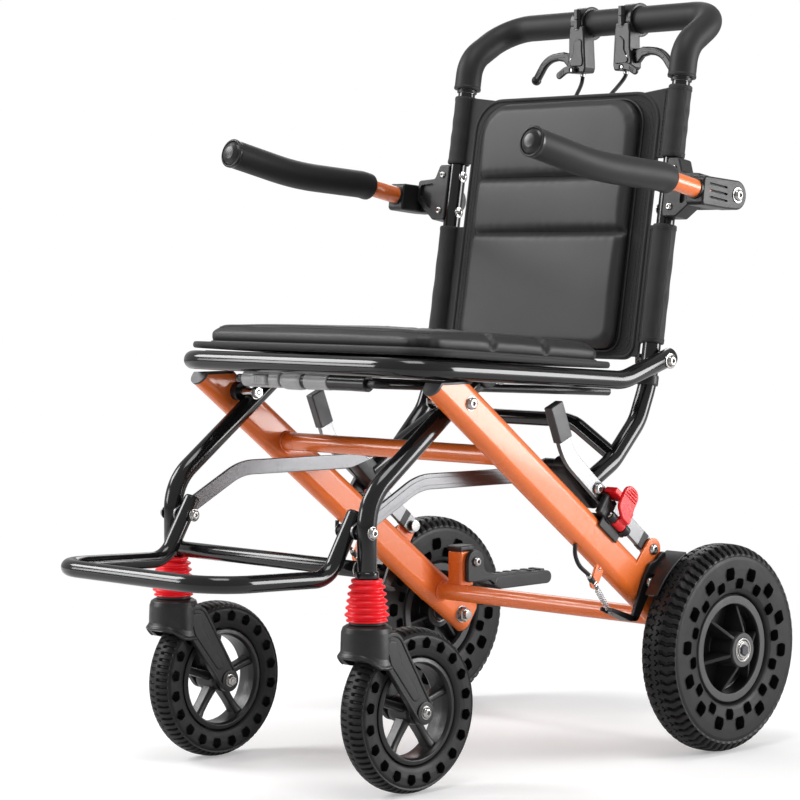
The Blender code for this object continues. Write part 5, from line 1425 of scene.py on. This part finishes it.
def upBack(z):
    # the (y, z) point at this height on the back tubes' straight part
    return Vector(backFoot) + backRise * ((z - backFoot[1]) / backRise.y)


def level(z):
    # how far up backPlane this height is
    return (z - backFoot[1]) / backRise.y


backTube = {"radius": 11, "route": (leverTip, (-122, 352), (-76, 398), backFoot, backTop),
            "bends": [0, 60, 60, 90, 0], "arch": ((backX, -119, 358), (112, -119, 398))}


def makeBackTubes():
    path = soften([at(backX, p) for p in backTube["route"]], backTube["bends"], 16)
    tube = roundTube(path, backTube["radius"], 36, roundEnds=0.4)
    low, high = at(backX, backFoot), at(backX, Vector(backFoot).lerp(Vector(backTop), 0.035))
    collar = [(11, 0), (12.7, 0), (12.9, 3), (12.9, 10), (12.3, 12.6), (11, 12.8)]
    collar = lathe(soften(collar, 0.5, 2), pointing(low, high), 40)
    fitting = sidePlate(strap(linkRear, fittingFoot, 13, 12, 18), 169, 188.4, edge=2.0)
    cheek = sidePlate(strap(linkRear, fittingFoot, 9.5, 8.6, 18), 187.4, 189.6, edge=0.9)
    bushes = [crossRod(linkRear, 151.4, 172, 9, 1.0), crossRod(leverTip, 180, 194.9, 8, 0.6)]
    parts = of(blackEnamel, tube) + of(blackPlastic, collar, fitting, cheek, *bushes)
    for k in range(3):
        rib = Vector(linkRear).lerp(Vector(fittingFoot), 0.42 + 0.22 * k)
        parts += of(blackPlastic, block((2.6, 17, 2.2), onSide(at(189.4, rib), math.atan2(39, -42)), 0.8, 2))
    parts += of(boltSteel, crossRod(linkRear, 189.2, 190.2, 6.6, 0.3), sideHead(linkRear, 190.0, 1, 5.6, 3.2))
    # the nuts that hold the armrest bracket, on the tube's inner side
    dome = [(0, 0), (6.2, 0), (6.0, 2.0), (4.6, 2.2), (4.1, 3.6), (2.6, 5.0), (0, 5.6)]
    for z in (651, 697):
        start = at(backX - 10.4, upBack(z))
        parts += of(boltSteel, lathe(dome, pointing(start, at(0, upBack(z))), 24),
                    rod(start, at(backX - 11.4, upBack(z)), 7.2, 0.3))
    addPair("back_side_tube_left", "back", parts, ["back_tube_left"], **bentTube)

    # the arch, coped round both side tubes
    arch = roundTube(soften(acrossMiddle(backTube["arch"]), [0, 60, 60, 0], 18), 9, 32)
    for s in (1, -1):
        arch = carve(arch, [roundTube([(s * p.x, p.y, p.z) for p in path], 11.3, 24)])
    addPiece("back_arch_tube", "back", of(blackEnamel, arch), ["back_arch"], **bentTube)


pushHandle = {"start": 805.3, "bend": 848, "top": (82, 892), "foam": 812, "foamRadius": 17}


def makePushHandle():
    x = backX
    near = [at(x, upBack(pushHandle["start"])), at(x, upBack(pushHandle["bend"])), at(x - 3, pushHandle["top"])]
    path = soften(acrossMiddle(near), [0, 44, 46, 46, 44, 0], 16)
    addPiece("push_handle_tube", "back", of(brushedSilver, roundTube(path, 11, 32)), ["push_handle"], **bentTube)
    start = upBack(pushHandle["foam"])
    section = arc((0, 0), pushHandle["foamRadius"], 0, 360 - 360 / 44, 43)
    foam = sweep([at(x, start)] + path[1:-1] + [at(-x, start)], section)
    cuff = soften([(11.2, -2.2), (17.2, -2.2), (17.6, 0.4), (17.1, 2.4), (11.2, 2.4)], 0.8, 3, True)
    cuffs, collars = [], []
    for s in (1, -1):
        end = at(s * x, start)
        cuffs.append(lathe(cuff, pointing(end, end + at(0, backRise)), 44, closed=True))
        collars.append(lathe([(11.1, 0), (12.8, 0.2), (12.8, 3.6), (11.1, 3.8)],
                             pointing(at(s * x, upBack(805.6)), at(s * x, upBack(900))), 40))
    piece = addPiece("handle_grip_foam", "back", of(gripFoam, foam, *cuffs) + of(blackPlastic, *collars),
                     ["handle_foam"], "foam", sharp=50)


backCloth = {"width": 306, "low": 471, "high": 794, "thick": 4.6, "sleeves": ((490, 632), (713, 800)), "corner": 40}


def makeBackCloth():
    low, high = level(backCloth["low"]), level(backCloth["high"])
    middle = (low + high) / 2
    line, cloth = roundedSheet(backCloth["width"], high - low, 16, backCloth["thick"],
                               backPlane @ Matrix.Translation((0, middle, 0)), backCloth["corner"])
    border = sweep([Vector((x * 0.992, y * 0.993 + middle, 0)) for x, y in line], oval(2.9, 4.2), True)
    border.transform(backPlane)
    sleeves, threads = [], []
    for bottom, top in backCloth["sleeves"]:
        start, end = at(backX, upBack(bottom)), at(backX, upBack(top))
        long = (end - start).length
        profile = [(12.1, 0.4), (13.6, 0), (14.4, 1.2), (14.5, 4), (14.0, 6)]
        for k in range(1, 24):
            share = k / 24
            ripple = math.sin(share * 21) * math.sin(share * math.pi)
            profile.append((13.9 + 0.32 * ripple, 6 + (long - 12) * share))
        profile += [(14.0, long - 6), (14.5, long - 4), (14.4, long - 1.2), (13.6, long), (12.1, long - 0.4)]
        sleeves.append(lathe(profile, pointing(start, end), 44, closed=True))
        webLow, webHigh = level(bottom), level(top)
        # the upper web runs in under the panel's corner
        inner = ([(112, high - 1.5), (112, webLow)] if top > 750 else
                 [(145, webHigh), (145, webLow - 17), (160.5, webLow - 17), (160.5, webLow)])
        web = soften([*inner, (172, webLow), (172, webHigh)], 2, 2, True)
        sleeves.append(plate(web, 4.4, backPlane, edge=1.6))
        for depth in (5.5, long - 5.5):
            ring = [pointing(start, end) @ Vector((14.3 * math.cos(a), 14.3 * math.sin(a), depth))
                    for a in [math.radians(8 * k) for k in range(45)]]
            threads += stitches(ring, None, (0, 0, 0), 2.8, 2.0, 0.42)
        seam = [backPlane @ Vector((158.5, y, 2.7)) for y in (webLow + 3, webHigh - 3)]
        threads += stitches(seam, None, (0, 0, 0), 3.2, 1.9, 0.45)
    for inset in (8.0, 12.5):
        loop = [backPlane @ Vector((x * (1 - inset / 153), y * (1 - inset / 156) + middle, 2.5)) for x, y in line]
        threads += stitches(loop + loop[:1], None, (0, 0, 0), 3.2, 1.9, 0.45)
    parts = of(meshCloth, cloth) + of(panelCloth, border) + bothSides(of(panelCloth, *sleeves))
    parts += of(thread, *threads)
    piece = addPiece("back_cloth_sleeved", "back", parts, ["back_panel"], "black_fabric", sharp=60)


backPad = {"width": 262, "low": 477, "high": 788, "seams": (0.465, 0.702), "base": 2.9, "rise": 13, "crown": 4}


def makeBackCushion():
    low, high = level(backPad["low"]), level(backPad["high"])
    long, middle = high - low, (low + high) / 2
    rise = backPad["rise"]
    line, pad = roundedSheet(backPad["width"] - 6, long - 6, 20, rise, (0, 0, rise / 2 + 0.4), 36)
    pad = puffed(pad, 4, 3, lambda p: smoothStep(2.2, 5.5, p.z), 5.0)
    rows = [(share - 0.5) * long * 0.94 for share in backPad["seams"]]
    x, y = backPad["width"] / 2, long / 2
    for vertex in pad.vertices:
        p = vertex.co
        up = smoothStep(5, 9, p.z)
        # each panel is fullest in its own middle
        bounds = [-y, *rows, y]
        for low, high in zip(bounds, bounds[1:]):
            if low <= p.y < high:
                share = 4 * (p.y - low) * (high - p.y) / (high - low) ** 2
                p.z += backPad["crown"] * (share * max(0, 1 - (p.x / x) ** 2)) ** 0.5 * up
        for row in rows:
            p.z -= 6.5 * math.exp(-abs((p.y - row) / 4.6) ** 1.6) * up
            pucker = math.sin(p.x * 0.31 + 2 * math.sin(p.x * 0.07)) * math.exp(-((abs(p.y - row) - 7) / 6) ** 2)
            p.z += 0.25 * pucker * up
        p.z += 0.5 * noise.noise(Vector((p.x * 0.02, p.y * 0.02, 9.4))) * up
    surface = surfaceOf(pad)
    threads = []
    for row in rows:
        threads += stitches([(8 - x, row + 1.4, 0), (x - 8, row + 1.4, 0)], surface, straightDown)
    edge = [Vector((a * 1.012, b * 1.009, 1.2)) for a, b in line]
    piping = roundTube(edge, 1.4, 12, closed=True)
    parts = of(leather, pad, piping) + of(thread, *threads)
    for mesh, material in parts:
        mesh.transform(backPlane @ Matrix.Translation((0, middle, backPad["base"])))
    piece = addPiece("back_cushion_sewn", "back", parts, ["back_cushion"], "black_leather", sharp=70)


# Armrests

armrest = {"x": 249, "pivot": (8, 667), "bracket": (640, 711), "block": (236, 262), "hub": 17.5, "foamRadius": 17.4,
           "tube": ((-40, 671), (-120, 687), (-235, 696), (-332, 719)),
           "foam": ((-105, 683.6), (-120, 687), (-235, 696), (-342, 721))}


def makeArmrests():
    pivot, inner = armrest["pivot"], backX + 3
    low, top = [level(z) for z in armrest["bracket"]]
    outline = [(inner, low), (203, low), (235, low + 26), (235, low + 52), (206, low + 54), (199, top), (inner, top)]
    stand = backPlane @ Matrix.Translation((0, 0, 1))
    bracket = plate(soften(outline, 4, 4, True), 24, stand, edge=1.8)
    hollow = [(207, low + 12), (230, low + 32), (230, low + 46), (207, low + 48)]
    web = sidePlate([(-25, 652), (8, 650), (8, 684), (-20, 684)], 199, 235, edge=1.4)
    room = sidePlate([(-26, 648), (4, 645), (4, 662), (-22, 672)], 209, 230, edge=0.01, edgeSteps=0)
    tubeRoom = rod(at(backX, upBack(600)), at(backX, upBack(740)), 11.8, 0.01, 48)
    pocket = plate(soften(hollow, 3, 3, True), 8, stand @ Matrix.Translation((0, 0, 12)), edge=0.01, edgeSteps=0)
    black = [carve(carve(bracket, [tubeRoom]), [pocket]), carve(web, [room]), crossRod(pivot, 199, 235.2, 17, 1.6, 48),
             crossRod(pivot, 234.5, 235.4, 15.4, 0.3, 48, 12.4)]
    steel = [crossRod(pivot, 230, 263, 4), crossRod(pivot, 262, 263.2, 9.6, 0.4), sideHead(pivot, 263, 1, 7.4, 3.9)]
    outward = backPlane.to_3x3() @ Vector((0, 0, 1))
    for z in (652, 698):
        steel.append(socketHead(backPlane @ Vector((192, level(z), 12.8)), outward, 4.6, 2.6))
    addPair("armrest_bracket_moulded_left", "back", of(blackPlastic, *black) + of(boltSteel, *steel),
            ["armrest_bracket_left"])

    x = armrest["x"]
    near, far = armrest["block"]
    outline = arc(pivot, armrest["hub"], -90, 90, 24)
    outline += soften([outline[24], (-54, 689.5), (-59, 655), (-12, 650.5), outline[0]], 5, 5)[1:-1]
    hub = sidePlate(outline, near, far, edge=2.4, edgeSteps=4)
    slope = math.radians(-8)
    hub = carve(hub, [block((34, 2.6, 5), onSide(at(far, (-28, z)), slope), 1.2, 2) for z in (662, 670, 678)])
    path = soften([at(x, p) for p in armrest["tube"]], [0, 150, 500, 0], 14)
    start, way = path[0], (path[1] - path[0]).normalized()
    collar = rod(start + way * 14, start + way * 19, 12.4, 0.8, 40)
    parts = of(blackPlastic, hub, collar) + of(orangeEnamel, roundTube(path, 11, 32))
    addPair("armrest_bar_left", "armrest_left", parts, ["armrest_arm_left"], "orange_paint", sharp=40, weighted=True)
    foamPath = soften([at(x, p) for p in armrest["foam"]], [0, 60, 500, 0], 14)
    foam = roundTube(foamPath, armrest["foamRadius"], 44, roundEnds=4)
    end, way = foamPath[-1], (foamPath[-1] - foamPath[-2]).normalized()
    stand = pointing(end - way * 2, end + way * 10)
    cap = [(0, -3), (16.6, -3), (15.6, 1.6), (12.6, 4.6), (7.6, 6.8), (0, 7.8)]
    cap = lathe(soften(cap, 2.0, 4), stand, 48)
    ring = [(15.4, -2), (17.9, -2), (18.0, 2.6), (16.0, 3.6), (15.2, 2.4)]
    ring = lathe(soften(ring, 0.6, 3, True), stand, 48, closed=True)
    pads = addPair("armrest_foam_pad_left", "armrest_left", of(gripFoam, foam) + of(satinBlack, cap, ring),
                   ["armrest_foam_left"], "foam", sharp=50)


# Hand brakes and their cables

handBrake = {"bar": (40, 82, 892), "clamp": 21.5, "leverPin": (2, -13, -46), "tabPin": (2, -23.6, -60),
             "cableExit": (-4, -13, -63), "foamRoom": 17.6}


def makeHandBrakes():
    bar = Vector(handBrake["bar"])
    front = Matrix.Translation(bar + Vector((0, -13, 0))) @ frontView
    outline = [(-13, -4), (9.4, -4), (11, -16), (11, -36), (13.4, -52), (13, -61), (9, -64), (-15, -64), (-17, -57),
               (-15.4, -30), (-14.4, -14)]
    body = plate(soften(outline, 3, 3, True), 21, front, edge=2.2, edgeSteps=4)
    # a raised wavy panel on the body's face
    panel = [(-12, -22), (-4, -20), (2.4, -26), (2.2, -38), (7.6, -47), (9.4, -53), (4, -55.6), (-13, -55.6),
             (-13.8, -48), (-11.8, -36)]
    panel = plate(soften(panel, 4, 5, True), 5, front @ Matrix.Translation((0, 0, 9.4)), edge=1.3)
    clamp = rod(bar - Vector((10.6, 0, 0)), bar + Vector((10.6, 0, 0)), handBrake["clamp"], 1.4, 56)
    room = rod(bar - Vector((20, 0, 0)), bar + Vector((20, 0, 0)), handBrake["foamRoom"], 0.01, 56)
    pivot = bar + Vector(handBrake["leverPin"])
    slot = block((28, 9, 18.4), pivot + Vector((6.4, 0, 0)), 0.01, 1)
    body = carve(carve(body, [room.copy()]), [slot])
    clamp = carve(clamp, [room])
    tabPivot = bar + Vector(handBrake["tabPin"])
    black = [body, clamp, panel]
    # the clamp's hinge: two six-sided sleeves with a screw from below
    for low, high in ((-8, 3.4), (4.2, 17)):
        black.append(rod(bar + Vector((-3, -22.6, low)), bar + Vector((-3, -22.6, high)), 4.6, 0.7, 6))
    steel = [rod(pivot - Vector((0, 9.6, 0)), pivot + Vector((0, 9.6, 0)), 2.5, 0.3, 24),
             socketHead(pivot - Vector((-4, 10.4, 1)), (0, -1, 0), 2.6, 1.4),
             socketHead(bar + Vector((-3, -22.6, -7.8)), (0, 0, -1), 3.0, 2.2),
             rod(tabPivot + Vector((0, 3, 0)), tabPivot + Vector((0, -5.4, 0)), 2, 0.3, 20)]
    cable = bar + Vector(handBrake["cableExit"])
    barrel = [(0, 0), (4.6, 0), (4.8, 1)] + [(4.8 - 0.5 * (k % 2), 1 + 0.8 * k) for k in range(7)]
    barrel += [(3.4, 6.8), (3.4, 8.6), (0, 8.6)]
    steel.append(lathe([(r * 0.92, h) for r, h in barrel],
                       pointing(cable + Vector((0, 0, 4.4)), cable - Vector((0, 0, 20))), 20))
    addPair("brake_grip_body_left", "back", of(satinBlack, *black) + of(boltSteel, *steel), ["brake_body_left"])

    route = soften([(0, 0), (26, 6), (54, 3), (73, -23)], [0, 44, 34, 0], 12)
    stand = Matrix.Translation(pivot) @ frontView
    blade = plate(ribbon(route, 10.4, 12), 7.6, stand, edge=2.8, edgeSteps=4,
                  holes=[arc((0, 0), 3.0, 0, 345, 24)])
    groove = plate(ribbon(route[4:-4], 3.4, 8), 8.2, stand, edge=0.5, edgeSteps=2)
    # the lever's broad root, clear of the body through its travel
    root = [(10, 0), (13, 4.6), (15.4, 8), (24, 11), (38, 9.4), (34, 0), (24, -2), (17, -9), (11.6, -10), (10, -5)]
    root = plate(soften(root, 3, 4, True), 7.8, stand, edge=2.4, edgeSteps=4)
    ball = lathe(arc((0, 0), 6.4, -90, 90, 18), stand @ Vector((73.4, -23.4, 0)), 28)
    addPair("brake_grip_lever_left", "hand_lever_left", of(satinBlack, blade, groove, root, ball), ["brake_lever_left"])
    tabStand = Matrix.Translation(tabPivot + Vector((0, -3.5, 0))) @ frontView
    tabRoute = soften([(-1, 0), (9, 1), (21, -6)], 14, 8)
    tab = plate(ribbon(tabRoute, 9.4, 12), 3.8, tabStand, edge=1.5, edgeSteps=4,
                holes=[arc((0, 0), 2.5, 0, 345, 24)])
    grips = [block((1.4, 1.0, 6), tabStand @ Matrix.Translation((13 + 2.8 * k, -2.4 - 1.4 * k, 1.9))
                   @ frontView.inverted().to_3x3().to_4x4(), 0.4, 2) for k in range(3)]
    addPair("parking_lock_tab_left", "lock_tab_left", of(satinBlack, tab, *grips), ["lock_tab_left"])


def makeCables():
    def behind(x, z):
        spot = upBack(z)
        return Vector((x, spot.x + 6.2, spot.y))

    leaving = Vector((36, 69, 828.7))
    shape = [leaving, leaving - Vector((0, 0, 6)), (33, 62, 812), (27, 42, 792), (16, 20, 772)]
    shape += [behind(x, z) for x, z in ((6, 752), (2.8, 725), (2.8, 560), (40, 528), (120, 512), (164.6, 510))]
    cable = roundTube(curveThrough(shape, 10), 2.5, 16)
    sleeve = rod(leaving, leaving - Vector((0, 0, 5)), 3.1, 0.5, 24)
    ties = [block((12, 5.4, 5.6), behind(0, 650), 1.0, 3), block((3.4, 7, 4), behind(6.6, 650), 0.8, 2)]
    addPiece("brake_cable_pair", "back", bothSides(of(cableCover, cable) + of(boltSteel, sleeve))
             + of(blackPlastic, *ties), ["brake_cables"], "cable_housing", sharp=60)


makeArms()
makeCrossTubes()
makeTipPedal()
makeRearWheels()
print("arms, cross tubes and rear wheels made")
makeCasters()
makeFrontLegs()
makeFootrest()
makeLinks()
print("casters, legs, footrest and links made")
makeSaddles()
makeLevers()
makeBrakes()
print("latches, levers and brakes made")
makeSeatFrame()
makePullHandle()
makeSeatCushion()
print("seat made")
makeBackTubes()
makePushHandle()
makeBackCloth()
makeBackCushion()
print("back made")
makeArmrests()
makeHandBrakes()
makeCables()
print("armrests, hand brakes and cables made")
